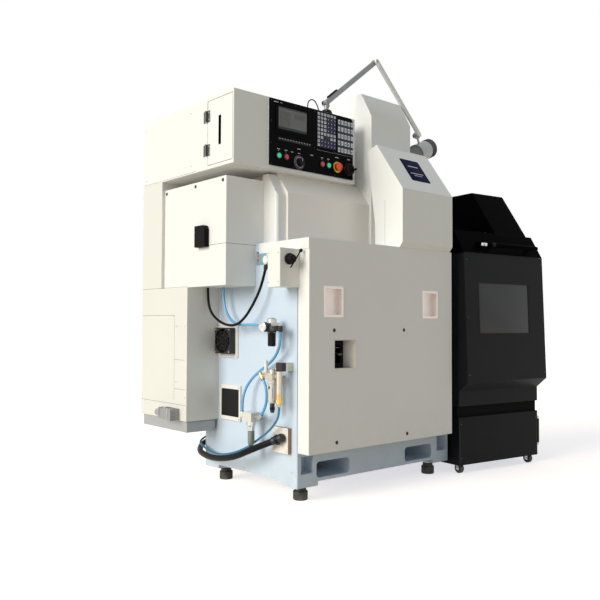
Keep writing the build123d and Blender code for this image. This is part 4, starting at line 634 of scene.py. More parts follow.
@dataclass(frozen=True)
class Finish:
    """A surface finish, with its sizes in millimetres."""

    name: str
    slot: Slot
    color: Triple
    second: Triple
    roughness: float = 0.45
    metallic: float = 0.0
    patch: float = 400.0
    amount: float = 0.5
    grain: float = 1.6
    relief: float = 0.05
    stretch: Triple = (1, 1, 1)
    drift: float = 0.12
    rub: float = 0.0
    worn: Triple = (0.5, 0.5, 0.5)
    rub_width: float = 1.5
    dust: float = 0.0
    dust_top: float = 350.0
    dust_color: Triple = (0.42, 0.39, 0.34)
    coat: float = 0.0
    specular: float = 0.5
    glow: float = 0.0
    zones: tuple[Zone, ...] = ()
    legends: tuple[Legend, ...] = ()

    def build(self, effects: Effects) -> bpy.types.Material:
        """Make the material.

        Args:
            effects: The shared shader groups.

        Returns:
            A node material whose pattern follows the object's own coordinates.
        """
        material = bpy.data.materials.new(self.name)
        material.use_nodes = True
        graph = Graph(material.node_tree)
        grain = graph.use(effects.grain, Size=self.grain * MM, Stretch=self.stretch,
                          Roughness=self.roughness, Drift=self.drift)
        color = self._tone(graph, effects, self.color, self.second, self.patch)
        rough, metal = grain["Roughness"], self.metallic
        for zone in self.zones:
            mask = self._box(graph, effects, zone)
            darker = tuple(0.8 * part for part in zone.color)
            color = graph.tint(mask, color, self._tone(graph, effects, zone.color, darker, self.patch / 4))
            rough = graph.blend(mask, rough, zone.roughness)
            metal = graph.blend(mask, metal, zone.metallic)
        for legend in self.legends:
            marks = graph.use(effects.legend, Corner=np.array(legend.corner) * MM, Dots=legend.dots,
                              Pitch=(legend.pitch[0] * MM, 1, legend.pitch[1] * MM),
                              Mark=(legend.mark[0], 1, legend.mark[1]), Fill=legend.fill)
            mask = graph.product(marks["Mask"], self._box(graph, effects, legend))
            color = graph.tint(mask, color, (*legend.color, 1))
        if self.rub:
            mask = graph.use(effects.rub, Width=self.rub_width * MM, Amount=self.rub)["Mask"]
            color = graph.tint(mask, color, (*self.worn, 1))
        if self.dust:
            mask = graph.use(effects.dust, Top=self.dust_top * MM, Amount=self.dust)["Mask"]
            color = graph.tint(mask, color, (*self.dust_color, 1))
            rough = graph.blend(mask, rough, 0.8)
        bump = graph.add("ShaderNodeBump", {"Height": grain["Height"], "Strength": 1.0,
                                            "Distance": self.relief * MM})[0]
        shader = material.node_tree.nodes["Principled BSDF"]
        graph.put(shader, {"Base Color": color, "Roughness": rough, "Metallic": metal, "Normal": bump,
                           "Coat Weight": self.coat, "Specular IOR Level": self.specular, "IOR": IOR})
        if self.glow:
            graph.put(shader, {"Emission Color": color, "Emission Strength": self.glow})
        return material

    def _tone(self, graph: Graph, effects: Effects, main: Triple, second: Triple,
              patch: float) -> bpy.types.NodeSocket:
        """Give a colour that drifts between two tones in patches of the given size."""
        return graph.use(effects.drift, Main=(*main, 1), Second=(*second, 1), Size=patch * MM,
                         Amount=self.amount)["Color"]

    @staticmethod
    def _box(graph: Graph, effects: Effects, box: Zone | Legend) -> bpy.types.NodeSocket:
        """Give the mask of a box that is measured in millimetres."""
        return graph.use(effects.zone, Low=np.array(box.low) * MM, High=np.array(box.high) * MM)["Mask"]


BLACK_TONE = (0.012, 0.012, 0.013)
BRASS_TONE = (0.72, 0.5, 0.2)
IVORY = Finish("ivory_sheet", Slot.IVORY_PAINT, (0.85, 0.845, 0.83), (0.81, 0.805, 0.79), 0.4,
               relief=0.03, grain=1.8, rub=0.25, worn=(0.9, 0.89, 0.86), dust=0.12, dust_top=500, drift=0.1)
# The front hood's copy of the ivory paint, lighter and warmer: painted warm bounce light on the hood.
HOOD_PAINTED_WARM_LIGHT = replace(IVORY, name="hood_sheet_painted_warm_light", color=(0.92, 0.87, 0.82), second=(0.88, 0.83, 0.77))
# The rear cabinet's copy of the ivory paint, darker: painted shade for the light falling off towards the back
# of the machine.
CABINET_PAINTED_SHADE = replace(IVORY, name="cabinet_sheet_painted_shade", color=(0.77, 0.755, 0.71), second=(0.73, 0.715, 0.67),
                        zones=(Zone((-260, 400, 240), (-70, 940, 299.5), (0.42, 0.43, 0.44), 0.4, 0.3),))
CASTING = Finish("cast_bed_paint", Slot.CASTING_PAINT, (0.61, 0.71, 0.84), (0.57, 0.67, 0.80), 0.42,
                 patch=260, grain=5.0, relief=0.25, rub=0.3, worn=(0.72, 0.78, 0.86), dust=0.4, dust_top=260)
CREAM_PLATE = Finish("cream_plate", Slot.IVORY_PAINT, (0.86, 0.82, 0.75), (0.8, 0.76, 0.69), 0.45, patch=90)
NAVY = Finish("navy_plate", Slot.BLACK_PAINT, (0.004, 0.006, 0.04), (0.003, 0.005, 0.03), 0.5, patch=60,
              relief=0.01, specular=0.02)
SKY_PLATE = Finish("sky_plate", Slot.BLUE_TUBE, (0.22, 0.42, 0.48), (0.19, 0.38, 0.44), 0.4, patch=40)
WHITE_MARK = Finish("white_mark", Slot.IVORY_PAINT, (0.75, 0.76, 0.78), (0.68, 0.69, 0.71), 0.5, patch=20)
UNIT_SHEET = Finish("unit_sheet_with_painted_shade", Slot.BLACK_PAINT, (0.011, 0.0115, 0.014), (0.016, 0.017, 0.02), 0.4,
                    patch=300, grain=1.2, rub=0.2, worn=(0.05, 0.05, 0.055), dust=0.12, dust_top=300,
                    dust_color=(0.05, 0.05, 0.05), specular=0.1, zones=(
                        # Painted shade: the tank below the belly is darker, as if shaded under the belly's
                        # overhang.
                        Zone((800, -400, 0), (1900, 900, 284), (0.0055, 0.006, 0.0078), 0.4),
                        # Painted shadow: the strip from 284 to 338 mm is near black and matte, as the shadow
                        # in the gap above the tank.
                        Zone((800, -400, 284), (1900, 900, 338), (0.0012, 0.0012, 0.0013), 0.8)))
BLACK_LID = Finish("black_lid", Slot.BLACK_PAINT, (0.0012, 0.0012, 0.0014), (0.002, 0.002, 0.0025), 0.45,
                   patch=300, grain=1.2, rub=0.15, worn=(0.02, 0.02, 0.024), specular=0.006)
BLACK_PLASTIC = Finish("black_plastic", Slot.BLACK_PLASTIC, (0.006, 0.006, 0.0065), (0.011, 0.011, 0.012),
                       0.42, patch=60, grain=0.7, relief=0.03, rub=0.25, worn=(0.04, 0.04, 0.04),
                       specular=0.15)
DEEP_BLACK = replace(BLACK_PLASTIC, name="deep_black", color=(0.0015, 0.0015, 0.002),
                     second=(0.003, 0.003, 0.0035), specular=0.04)
LEVER_PLASTIC = Finish("lever_plastic", Slot.BLACK_PLASTIC, (0.015, 0.015, 0.016), (0.03, 0.03, 0.03), 0.35,
                       patch=20, zones=(Zone((60, -180, 634), (140, -60, 660), (0.5, 0.02, 0.03), 0.4),))
SEAM_GAP = Finish("seam_gap", Slot.RUBBER, (0.10, 0.095, 0.085), (0.06, 0.058, 0.052), 0.8, patch=80)
RUBBER = Finish("black_rubber", Slot.RUBBER, (0.007, 0.007, 0.0075), (0.013, 0.013, 0.013), 0.6, patch=50,
                grain=0.9, relief=0.08, drift=0.2, dust=0.35, dust_top=90, specular=0.2)
BOOT = replace(RUBBER, name="boot_rubber", color=(0.004, 0.003, 0.003), second=(0.008, 0.006, 0.006),
               dust=0.0, specular=0.1)
FOOT_RUBBER = Finish("foot_rubber", Slot.RUBBER, (0.012, 0.012, 0.012), (0.025, 0.024, 0.023), 0.6, patch=60,
                     grain=1.0, relief=0.08, dust=0.5, dust_top=70)
TYRE = Finish("caster_tyre", Slot.RUBBER, (0.02, 0.02, 0.021), (0.035, 0.035, 0.035), 0.5, patch=20,
              relief=0.02, dust=0.4, dust_top=50)
CHROME = Finish("chromed_metal", Slot.CHROME, (0.72, 0.72, 0.73), (0.6, 0.6, 0.62), 0.16, 1.0, patch=40,
                relief=0.005, drift=0.14)
# The pull cups' stainless: partly its own tone, lightened and warmed with painted light standing in for light
# inside the cups.
PRESSED_STEEL_AND_PAINTED_LIGHT = Finish("pressed_stainless_and_painted_light", Slot.CHROME, (0.88, 0.81, 0.77), (0.80, 0.71, 0.66), 0.34, 0.45,
                 patch=30, grain=0.6, relief=0.01, stretch=(1, 1, 6), drift=0.2)
ZINC = Finish("zinc_plated", Slot.CHROME, (0.55, 0.56, 0.57), (0.42, 0.43, 0.45), 0.34, 1.0, patch=18,
              grain=0.8, relief=0.02, drift=0.2)
DARK_SCREW = Finish("blackened_screw", Slot.BLACK_PLASTIC, (0.05, 0.05, 0.052), (0.09, 0.09, 0.09), 0.4, 0.8,
                    patch=6, grain=0.5, relief=0.02)
BRASS = Finish("brass", Slot.CHROME, BRASS_TONE, (0.6, 0.4, 0.14), 0.26, 1.0, patch=14, grain=0.6,
               relief=0.01, drift=0.2)
STEEL = Finish("ground_steel", Slot.STEEL, (0.5, 0.5, 0.51), (0.4, 0.4, 0.42), 0.28, 1.0, patch=50, grain=0.6,
               relief=0.02, stretch=(1, 1, 8), drift=0.2)
IRON = Finish("machined_iron", Slot.IRON, (0.4, 0.42, 0.43), (0.32, 0.34, 0.35), 0.45, 0.7, patch=80,
              grain=1.2)
LAMP_METAL = Finish("lamp_aluminium", Slot.LAMP_METAL, (0.28, 0.285, 0.29), (0.23, 0.235, 0.25), 0.4, 0.6,
                    patch=60, grain=0.5, relief=0.02, drift=0.16)
# The upper arm's copy of the lamp metal, much paler and less metallic: painted light on its lit face.
LAMP_METAL_PAINTED_LIGHT = replace(LAMP_METAL, name="lamp_metal_painted_light", color=(0.76, 0.76, 0.76), second=(0.68, 0.68, 0.69),
                    metallic=0.25)
LAMP_DARK = replace(LAMP_METAL, name="lamp_fin", color=(0.10, 0.10, 0.105), second=(0.07, 0.07, 0.075))
LAMP_ENAMEL = Finish("lamp_enamel", Slot.LAMP_METAL, (0.36, 0.365, 0.37), (0.29, 0.295, 0.3), 0.34, 0.6,
                     patch=80, relief=0.01, coat=0.2)
LAMP_LENS = Finish("lamp_lens", Slot.SCREEN_GLASS, (0.42, 0.43, 0.43), (0.36, 0.37, 0.37), 0.18, patch=30,
                   relief=0.01, coat=0.3)
BLUE_TUBE = Finish("blue_tube", Slot.BLUE_TUBE, (0.12, 0.37, 0.66), (0.15, 0.43, 0.72), 0.25, patch=70,
                   relief=0.01, coat=0.3)
TEAL_HOSE = replace(BLUE_TUBE, name="teal_hose", color=(0.01, 0.19, 0.36), second=(0.015, 0.23, 0.42))
BLACK_HOSE = Finish("black_hose", Slot.BLACK_HOSE, (0.006, 0.006, 0.007), (0.012, 0.012, 0.014), 0.35,
                    patch=60, grain=1.0, relief=0.03, drift=0.2, specular=0.1)
GREY_CABLE = Finish("grey_cable", Slot.GREY_PAINT, (0.09, 0.09, 0.095), (0.06, 0.06, 0.065), 0.5, patch=40)
SMOKED = Finish("smoked_window", Slot.SCREEN_GLASS, (0.035, 0.036, 0.04), (0.045, 0.046, 0.05), 0.16,
                patch=200, relief=0.003, drift=0.08, specular=0.3)
GREEN_LENS = Finish("green_lens", Slot.GREEN_PLASTIC, (0.01, 0.58, 0.25), (0.01, 0.46, 0.2), 0.2, patch=10,
                    relief=0.005, glow=0.45, coat=0.4)
RED_LENS = Finish("red_lens", Slot.RED_PLASTIC, (0.6, 0.015, 0.03), (0.5, 0.01, 0.02), 0.22, patch=10,
                  relief=0.005, glow=0.12, coat=0.4)
RED_HEAD = Finish("red_head", Slot.RED_PLASTIC, (0.84, 0.085, 0.012), (0.74, 0.06, 0.01), 0.28, patch=20,
                  relief=0.01, coat=0.3)
DARK_RED = replace(RED_HEAD, name="dark_red", color=(0.2, 0.01, 0.02), second=(0.14, 0.008, 0.015))
YELLOW = Finish("yellow_ring", Slot.KEY_PLASTIC, (0.95, 0.56, 0.02), (0.86, 0.48, 0.015), 0.35, patch=20)
DARK_DIAL = Finish("dark_dial", Slot.BLACK_PLASTIC, (0.06, 0.055, 0.07), (0.04, 0.038, 0.048), 0.35, 0.5,
                   patch=20, grain=0.3, relief=0.01, drift=0.2)
DIAL_WHITE = Finish("dial_white", Slot.IVORY_PAINT, (0.8, 0.8, 0.79), (0.76, 0.76, 0.75), 0.5, patch=12)
SINTER = Finish("sintered_cup", Slot.CHROME, (0.82, 0.81, 0.78), (0.72, 0.70, 0.66), 0.7, 0.1, patch=6,
                grain=0.6, relief=0.15)
LEVEL_GLASS = Finish("level_glass", Slot.SCREEN_GLASS, (0.008, 0.045, 0.07), (0.012, 0.06, 0.09), 0.2,
                     patch=10, relief=0.005)


class Workshop:
    """Keeps the finishes and the shading that finished nodes get."""

    def __init__(self) -> None:
        """Build the shared effects and the shading."""
        self.effects = Effects()
        self.materials: dict[str, bpy.types.Material] = {}
        self.crisp = self._crisp_shading()

    def material(self, finish: Finish) -> bpy.types.Material:
        """Give a finish's material, made the first time.

        Args:
            finish: The finish.

        Returns:
            The material that every piece with this finish shares.
        """
        if finish.name not in self.materials:
            self.materials[finish.name] = finish.build(self.effects)
        return self.materials[finish.name]

    @staticmethod
    def _crisp_shading() -> bpy.types.NodeTree:
        """Make the modifier that smooths a node's faces and keeps edges past the crease angle sharp."""
        tree = bpy.data.node_groups.new("crisp_shading", "GeometryNodeTree")
        for way in ("INPUT", "OUTPUT"):
            tree.interface.new_socket("Geometry", in_out=way, socket_type="NodeSocketGeometry")
        graph = Graph(tree)
        given = graph.add("NodeGroupInput")[0]
        plain = graph.add("GeometryNodeRemoveAttribute", {"Geometry": given, "Name": "custom_normal"})[0]
        smooth = graph.add("GeometryNodeSetShadeSmooth", {"Geometry": plain, "Shade Smooth": True},
                           domain="FACE")[0]
        angle = graph.add("GeometryNodeInputMeshEdgeAngle")[0]
        sharp = graph.add("FunctionNodeCompare", {0: angle, 1: CREASE}, operation="GREATER_THAN")[0]
        kept = graph.add("GeometryNodeSetShadeSmooth",
                         {"Geometry": smooth, "Selection": sharp, "Shade Smooth": False}, domain="EDGE")[0]
        graph.add("NodeGroupOutput", {0: kept})
        return tree


@dataclass
class Studio:
    """The floor, the soft light and the camera at the photograph's viewpoint."""

    eye: Triple = (-2.0541, -2.3558, 0.7512)
    right: Triple = (0.75467, -0.65609, 0.00397)
    up: Triple = (-0.02497, -0.02267, 0.99943)
    lens: float = 43.316
    sensor: float = 36.0
    sight: float = 200.0
    floor_reach: float = 40.0
    floor_color: Triple = (0.88, 0.75, 0.58)
    floor_lift: float = 0.66
    lift_color: Triple = (0.98, 0.985, 1.05)
    sky: Triple = (0.80, 0.91, 1.0)
    sky_strength: float = 0.36
    key_color: Triple = (1.0, 0.98, 0.89)
    key_strength: float = 2.75
    key_way: Triple = (-1.0, 0.1, 0.4)
    key_softness: float = 38.0

    def build(self) -> None:
        """Make the camera, the floor, the world and the key light."""
        self._camera()
        self._floor()
        self._world()
        self._key()
        bpy.context.scene.view_settings.view_transform = "Standard"
        log.info("studio set")

    @staticmethod
    def _put(name: str, data: bpy.types.ID) -> bpy.types.Object:
        """Put an object with the given data into the scene.

        Args:
            name: The object's name.
            data: Its mesh, camera or light.

        Returns:
            The object.
        """
        shown = bpy.data.objects.new(name, data)
        bpy.context.scene.collection.objects.link(shown)
        return shown

    def _camera(self) -> None:
        """Put the camera where the photograph was taken from."""
        data = bpy.data.cameras.new("viewpoint")
        data.lens = self.lens
        data.sensor_width = self.sensor
        data.clip_end = self.sight
        right = Vector(self.right).normalized()
        back = right.cross(Vector(self.up).normalized()).normalized()
        turn = Matrix((right, back.cross(right), back)).transposed().to_4x4()
        camera = self._put("viewpoint", data)
        camera.matrix_world = Matrix.Translation(self.eye) @ turn
        bpy.context.scene.camera = camera

    def _floor(self) -> None:
        """Make a pale floor that keeps the shadow and reads as white to the camera, metal and glass."""
        reach = self.floor_reach
        mesh = bpy.data.meshes.new("floor")
        corners = [(-reach, -reach, 0), (reach, -reach, 0), (reach, reach, 0), (-reach, reach, 0)]
        mesh.from_pydata(corners, [], [(0, 1, 2, 3)])
        self._put("floor", mesh)
        material = bpy.data.materials.new("pale_floor")
        material.use_nodes = True
        graph = Graph(material.node_tree)
        material.node_tree.nodes.clear()
        diffuse = graph.add("ShaderNodeBsdfDiffuse", {"Color": (*self.floor_color, 1)})[0]
        strength = graph.product(self._seen(graph), self.floor_lift)
        lift = graph.add("ShaderNodeEmission", {"Color": (*self.lift_color, 1), "Strength": strength})[0]
        total = graph.add("ShaderNodeAddShader", {0: diffuse, 1: lift})[0]
        graph.add("ShaderNodeOutputMaterial", {"Surface": total})
        mesh.materials.append(material)

    @staticmethod
    def _seen(graph: Graph) -> bpy.types.NodeSocket:
        """Give 1 for rays from the camera, a mirror or glass, and 0 for the rest.

        Args:
            graph: The graph that the nodes go into.

        Returns:
            The number.
        """
        path = graph.add("ShaderNodeLightPath")
        glossy = graph.math("MAXIMUM", path["Is Glossy Ray"], path["Is Transmission Ray"])
        return graph.math("MAXIMUM", path["Is Camera Ray"], glossy)

    def _world(self) -> None:
        """Make an even, slightly cool sky that is white where it is seen."""
        world = bpy.data.worlds.new("studio_sky")
        world.use_nodes = True
        bpy.context.scene.world = world
        graph = Graph(world.node_tree)
        world.node_tree.nodes.clear()
        light = graph.add("ShaderNodeBackground", {"Color": (*self.sky, 1), "Strength": self.sky_strength})[0]
        white = graph.add("ShaderNodeBackground", {"Color": (1, 1, 1, 1), "Strength": 1.0})[0]
        mix = graph.add("ShaderNodeMixShader", {0: self._seen(graph), 1: light, 2: white})[0]
        graph.add("ShaderNodeOutputWorld", {"Surface": mix})

    def _key(self) -> None:
        """Make the broad key light from the left."""
        data = bpy.data.lights.new("key", "SUN")
        data.energy = self.key_strength
        data.angle = math.radians(self.key_softness)
        data.color = self.key_color
        self._put("key", data).rotation_euler = Vector(self.key_way).to_track_quat("Z", "Y").to_euler()


@dataclass(frozen=True)
class CordRun:
    """One cord, with its route's points, its diameter and its real length in millimetres."""

    node: str
    finish: Finish
    diameter: float
    length: float
    stiffness: Stiffness
    route: tuple[Triple, ...]

    def build(self, shop: Workshop) -> None:
        """Args:
            shop: Where its finish is kept.
        """
        curve = bpy.data.curves.new(f"{self.node}_line", "CURVE")
        curve.dimensions = "3D"
        curve.bevel_depth = self.diameter * MM / 2
        curve.bevel_resolution = 6
        curve.resolution_u = 10
        curve.use_fill_caps = True
        spline = curve.splines.new("NURBS")
        spline.points.add(len(self.route) - 1)
        places = np.ones((len(self.route), 4))
        places[:, :3] = np.array(self.route) * MM
        spline.points.foreach_set("co", places.ravel())
        spline.order_u = 3
        spline.use_endpoint_u = True
        line = bpy.data.objects.new(curve.name, curve)
        bpy.context.scene.collection.objects.link(line)
        curve.materials.append(shop.material(self.finish))
        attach(line, "machine")
        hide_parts(self.node)
        log.info("laid %s, %.0f mm long", line.name, self.length)


CORDS = (
    CordRun("conduit", BLACK_HOSE, 28, 998, Stiffness.STIFF, (
        (-128.70, 33.13, 256.16), (-170, 120, 217), (-178, 242, 165), (-174, 372, 141), (-156, 492, 135),
        (-124, 600, 141), (-58, 680, 157), (42, 716, 175), (140, 702, 185), (230, 702, 185))),
    CordRun("supply_hose", TEAL_HOSE, 10, 1108, Stiffness.MEDIUM, (
        (-138, -21, 406), (-138, -21, 374), (-138, -2, 343), (-133, 47, 301), (-116, 142, 252),
        (-112, 221, 208), (-112, 309, 173), (-112, 401, 148), (-113, 493, 142), (-108, 580, 158),
        (-96, 646, 175), (-38, 672, 195), (52, 682, 217), (144, 670, 235), (234, 670, 235))),
    CordRun("upper_tube", BLUE_TUBE, 12, 486, Stiffness.MEDIUM, (
        (-138, -27, 719), (-138, -27, 685), (-132, -12, 653), (-118, 28, 615), (-106, 82, 583),
        (-104, 144, 551), (-112, 198, 513), (-126, 230, 465), (-138, 236, 413), (-138, 236, 364))),
    CordRun("cross_tube", BLUE_TUBE, 12, 171, Stiffness.MEDIUM, (
        (-138, 89.69, 516.24), (-138, 69.99, 491.02), (-138, 63, 456), (-138, 64, 420),
        (-138, 77.68, 386.25), (-138, 97.38, 361.03))),
    CordRun("inlet_tube", BLUE_TUBE, 12, 457, Stiffness.MEDIUM, (
        (-122, 410, 921), (-122, 410, 859), (-124, 380, 797), (-128, 324, 758), (-132, 256, 745),
        (-135, 188, 749), (-138, 122, 745), (-138, 64, 745))),
    CordRun("sender_cable", BLACK_HOSE, 12, 637, Stiffness.MEDIUM, (
        (-152, 494, 921), (-152, 494, 863), (-151, 472, 805), (-149, 412, 765), (-147, 336, 743),
        (-145, 272, 747), (-141, 222, 775), (-137, 178, 820), (-132, 139, 874), (-122, 116.89, 932.15),
        (-122, 97.73, 984.77))),
    CordRun("lamp_cable", GREY_CABLE, 6, 160, Stiffness.MEDIUM, (
        (198, 187, 1768), (198, 187, 1794), (206, 186, 1814), (224, 185, 1825), (245, 185, 1820),
        (260, 186, 1802), (270, 187, 1782), (278, 187, 1773.5), (293.7, 187, 1773.5))),
)


@dataclass
class Assembly:
    """A group of nodes and pieces, with the workshop that gives them their finishes."""

    shop: Workshop

    def dress(self, finish: Finish, edge: float, *nodes: str) -> None:
        """Give nodes of the frame their finish and, where asked, rounded edges.

        Args:
            finish: The finish they get.
            edge: How far their sharp edges are rounded, in millimetres, or 0 to leave them.
            nodes: The nodes' names.
        """
        for node in nodes:
            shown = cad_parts[node]
            if not shown.material_slots:
                shown.data.materials.append(None)
            for slot in shown.material_slots:
                slot.material = self.shop.material(finish)
            shown.modifiers.new("weld", "WELD").merge_threshold = MERGE
            if edge:
                rounded = shown.modifiers.new("rounded_edges", "BEVEL")
                rounded.width = edge * MM
                rounded.segments = 2
                rounded.limit_method = "ANGLE"
                rounded.angle_limit = CREASE
                rounded.use_clamp_overlap = False
                rounded.miter_outer = "MITER_ARC"
            shown.modifiers.new("crisp_shading", "NODES").node_group = self.shop.crisp
            shown.modifiers.new("even_shading", "WEIGHTED_NORMAL").keep_sharp = True
            log.info("dressed %s in %s", node, finish.name)

    def piece(self, name: str, finish: Finish, surface: Surface, *seats: Seat, body: str = "machine") -> None:
        """Put a new piece on the machine.

        Args:
            name: The piece's name.
            finish: Its finish.
            surface: Its shape, in millimetres.
            seats: Where copies of it stand, or none if it is already in place.
            body: The body that it moves with.
        """
        placed = surface.seated(*seats) if seats else surface
        shape = bpy.data.objects.new(name, placed.mesh(name))
        bpy.context.scene.collection.objects.link(shape)
        shape.data.materials.append(self.shop.material(finish))
        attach(shape, body)
        log.info("made %s in %s, %d faces", name, finish.name, len(shape.data.polygons))


@dataclass
class BedDressing(Assembly):
    """The cast bed, its levelling feet and the plugs in its face."""

    left: float = -78.0
    front: float = -68.0
    right: float = 933.0
    foot_places: tuple[Pair, ...] = ((0, 0), (855, 0), (0, 550), (855, 550))
    flange_level: float = 58.0

    def build(self) -> None:
        """Dress the bed and add the feet's flanges, the plugs in its ends and the front cover's seal."""
        self.dress(CASTING, 0.0, "bed_casting")
        self.dress(FOOT_RUBBER, 0.8, "levelling_feet")
        self.piece("foot_flanges", ZINC, turned([(26, 0), (31, 0.6), (31, 6.4), (26, 6.9)], 40, ring=True),
                   *Seat.row(Side.TOP, self.flange_level, *self.foot_places))
        self.piece("bed_plugs", CASTING, socket_screw(9, 2.2, 0.55),
                   *Seat.row(Side.LEFT, self.left, (-30, 132), (560, 132), (300, 96)),
                   *Seat.row(Side.RIGHT, self.right, (0, 300), (300, 300), (540, 300)))
        path = [(self.left - 0.2, self.front - 0.6, z) for z in np.linspace(216, 1060, 8)]
        self.piece("cover_edge_seal", RUBBER, seam(2.4, 0.7, path, Side.LEFT.out))


@dataclass
class SheetCovers(Assembly):
    """The folded covers with their screws, seams, badge plate and boot."""

    cover_front: float = -140.0
    hood_front: float = 115.0
    head_left: float = -241.0
    column_right: float = 842.0
    column_back: float = 744.0
    joint_level: float = 1105.0
    opening: Pair = (129.5, 623.5)
    opening_size: Pair = (127, 121)
    wall: tuple[Pair, Pair] = ((191.5, -138.0), (150.0, -70.0))
    mark: Triple = (92.0, -126.0, 652.0)
    slope_low: Triple = (670, -117, 1442)
    slope_up: Triple = (0.0, 0.5796, 0.8149)
    slope_out: Triple = (0.0, -0.8149, 0.5796)
    badge_size: Pair = (138, 147)

    def build(self) -> None:
        """Dress the covers and add what is fixed to them."""
        self.dress(IVORY, 1.4, "front_cover", "column_cover", "badge_cover", "headstock_cover")
        self.dress(HOOD_PAINTED_WARM_LIGHT, 1.4, "front_hood")
        self.dress(BOOT, 0.6, "cable_boot")
        self.dress(PRESSED_STEEL_AND_PAINTED_LIGHT, 0.8, "pull_cups")
        self.dress(DEEP_BLACK, 0.8, "breaker")
        self.dress(LEVER_PLASTIC, 0.5, "breaker_lever")
        self.piece("breaker_mark", DARK_RED, plate(30, 2.8, 0.8, 0.7, 0.2, -0.2),
                   Seat.on(Side.FRONT, *self.mark))
        seats = [*Seat.row(Side.FRONT, self.cover_front, (65, 726), (512, 726), (81, 251), (534, 246)),
                 *Seat.row(Side.LEFT, self.head_left, (470, 1385), (250, 1385), (726, 1385)),
                 *Seat.row(Side.FRONT, self.hood_front, (60, 1125), (300, 1125), (500, 1125)),
                 *Seat.row(Side.RIGHT, self.column_right, (200, 1130), (640, 1130), (640, 1440)),
                 *Seat.row(Side.BACK, self.column_back, (600, 1470), (790, 1470), (600, 1200))]
        self.piece("cover_screws", DARK_SCREW, socket_screw(5.6, 2.6),
                   *[seat.moved(out=1.0) for seat in seats])
        washer = turned([(3, -0.3), (8.0, -0.3), (8.0, 0.7), (7.4, 1.1), (3, 1.1)], 24, ring=True)
        self.piece("cover_washers", RUBBER, washer, *seats)
        self._badge()
        left, level = self.head_left, self.joint_level
        self.piece("cover_seams", SEAM_GAP, joined((
            seam(1.6, 0.35, [(left, y, level) for y in (355, 300, 226)], Side.LEFT.out),
            seam(1.6, 0.35, [(x, 224, level) for x in (-239, -150, -34)], Side.FRONT.out),
            seam(1.6, 0.35, [(586, 16, z) for z in np.linspace(1236, 1590, 6)], Side.LEFT.out),
            seam(1.2, 0.3, [(483, -48, z) for z in np.linspace(1126, 1340, 5)], Side.LEFT.out))))
        self._opening()

    def _badge(self) -> None:
        """Make the plain plate with a raised rim on the badge cover's slope, and its three plain rules."""
        width, height = self.badge_size
        middle = np.array(self.slope_low) + np.array(self.slope_up) * height / 2
        slope = Seat(middle, (1, 0, 0), self.slope_up, self.slope_out)
        rim = border(width - 7, height - 7, 4, [(0, 1.4), (0.4, 2.3), (1.4, 2.3), (1.8, 1.4)])
        self.piece("badge_plate", NAVY, plate(width, height, 6, 2.0, 0.6, -0.3) + rim, slope)
        self.piece("badge_marks", WHITE_MARK, joined(
            plate(wide, tall, tall / 2 - 0.1, 0.9, 0.3, 1.4).seated(slope.moved(up=up))
            for wide, up, tall in ((74, 26, 5.0), (94, -22, 4.0), (58, -36, 3.0))))

    def _opening(self) -> None:
        """Fold a lip round the breaker's opening and close its right side with a slanted sheet."""
        (x, z), (width, height) = self.opening, self.opening_size
        lip = [(-1.2, -16), (0.4, -16), (0.4, 0.2), (1.6, 0.8), (1.6, 1.2), (-0.6, 1.2), (-1.2, 0.4)]
        self.piece("breaker_surround", CREAM_PLATE, border(width, height, 2, lip),
                   Seat.on(Side.FRONT, x, self.cover_front, z))
        outer, inner = (np.array((*corner, z)) for corner in self.wall)
        reach = np.linalg.norm(outer - inner)
        across = (outer - inner) / reach
        self.piece("breaker_wall", CREAM_PLATE, plate(reach, height - 2, 0.6, 1.4, 0.4, -1.4),
                   Seat((outer + inner) / 2, across, (0, 0, 1), np.cross(across, (0, 0, 1))))


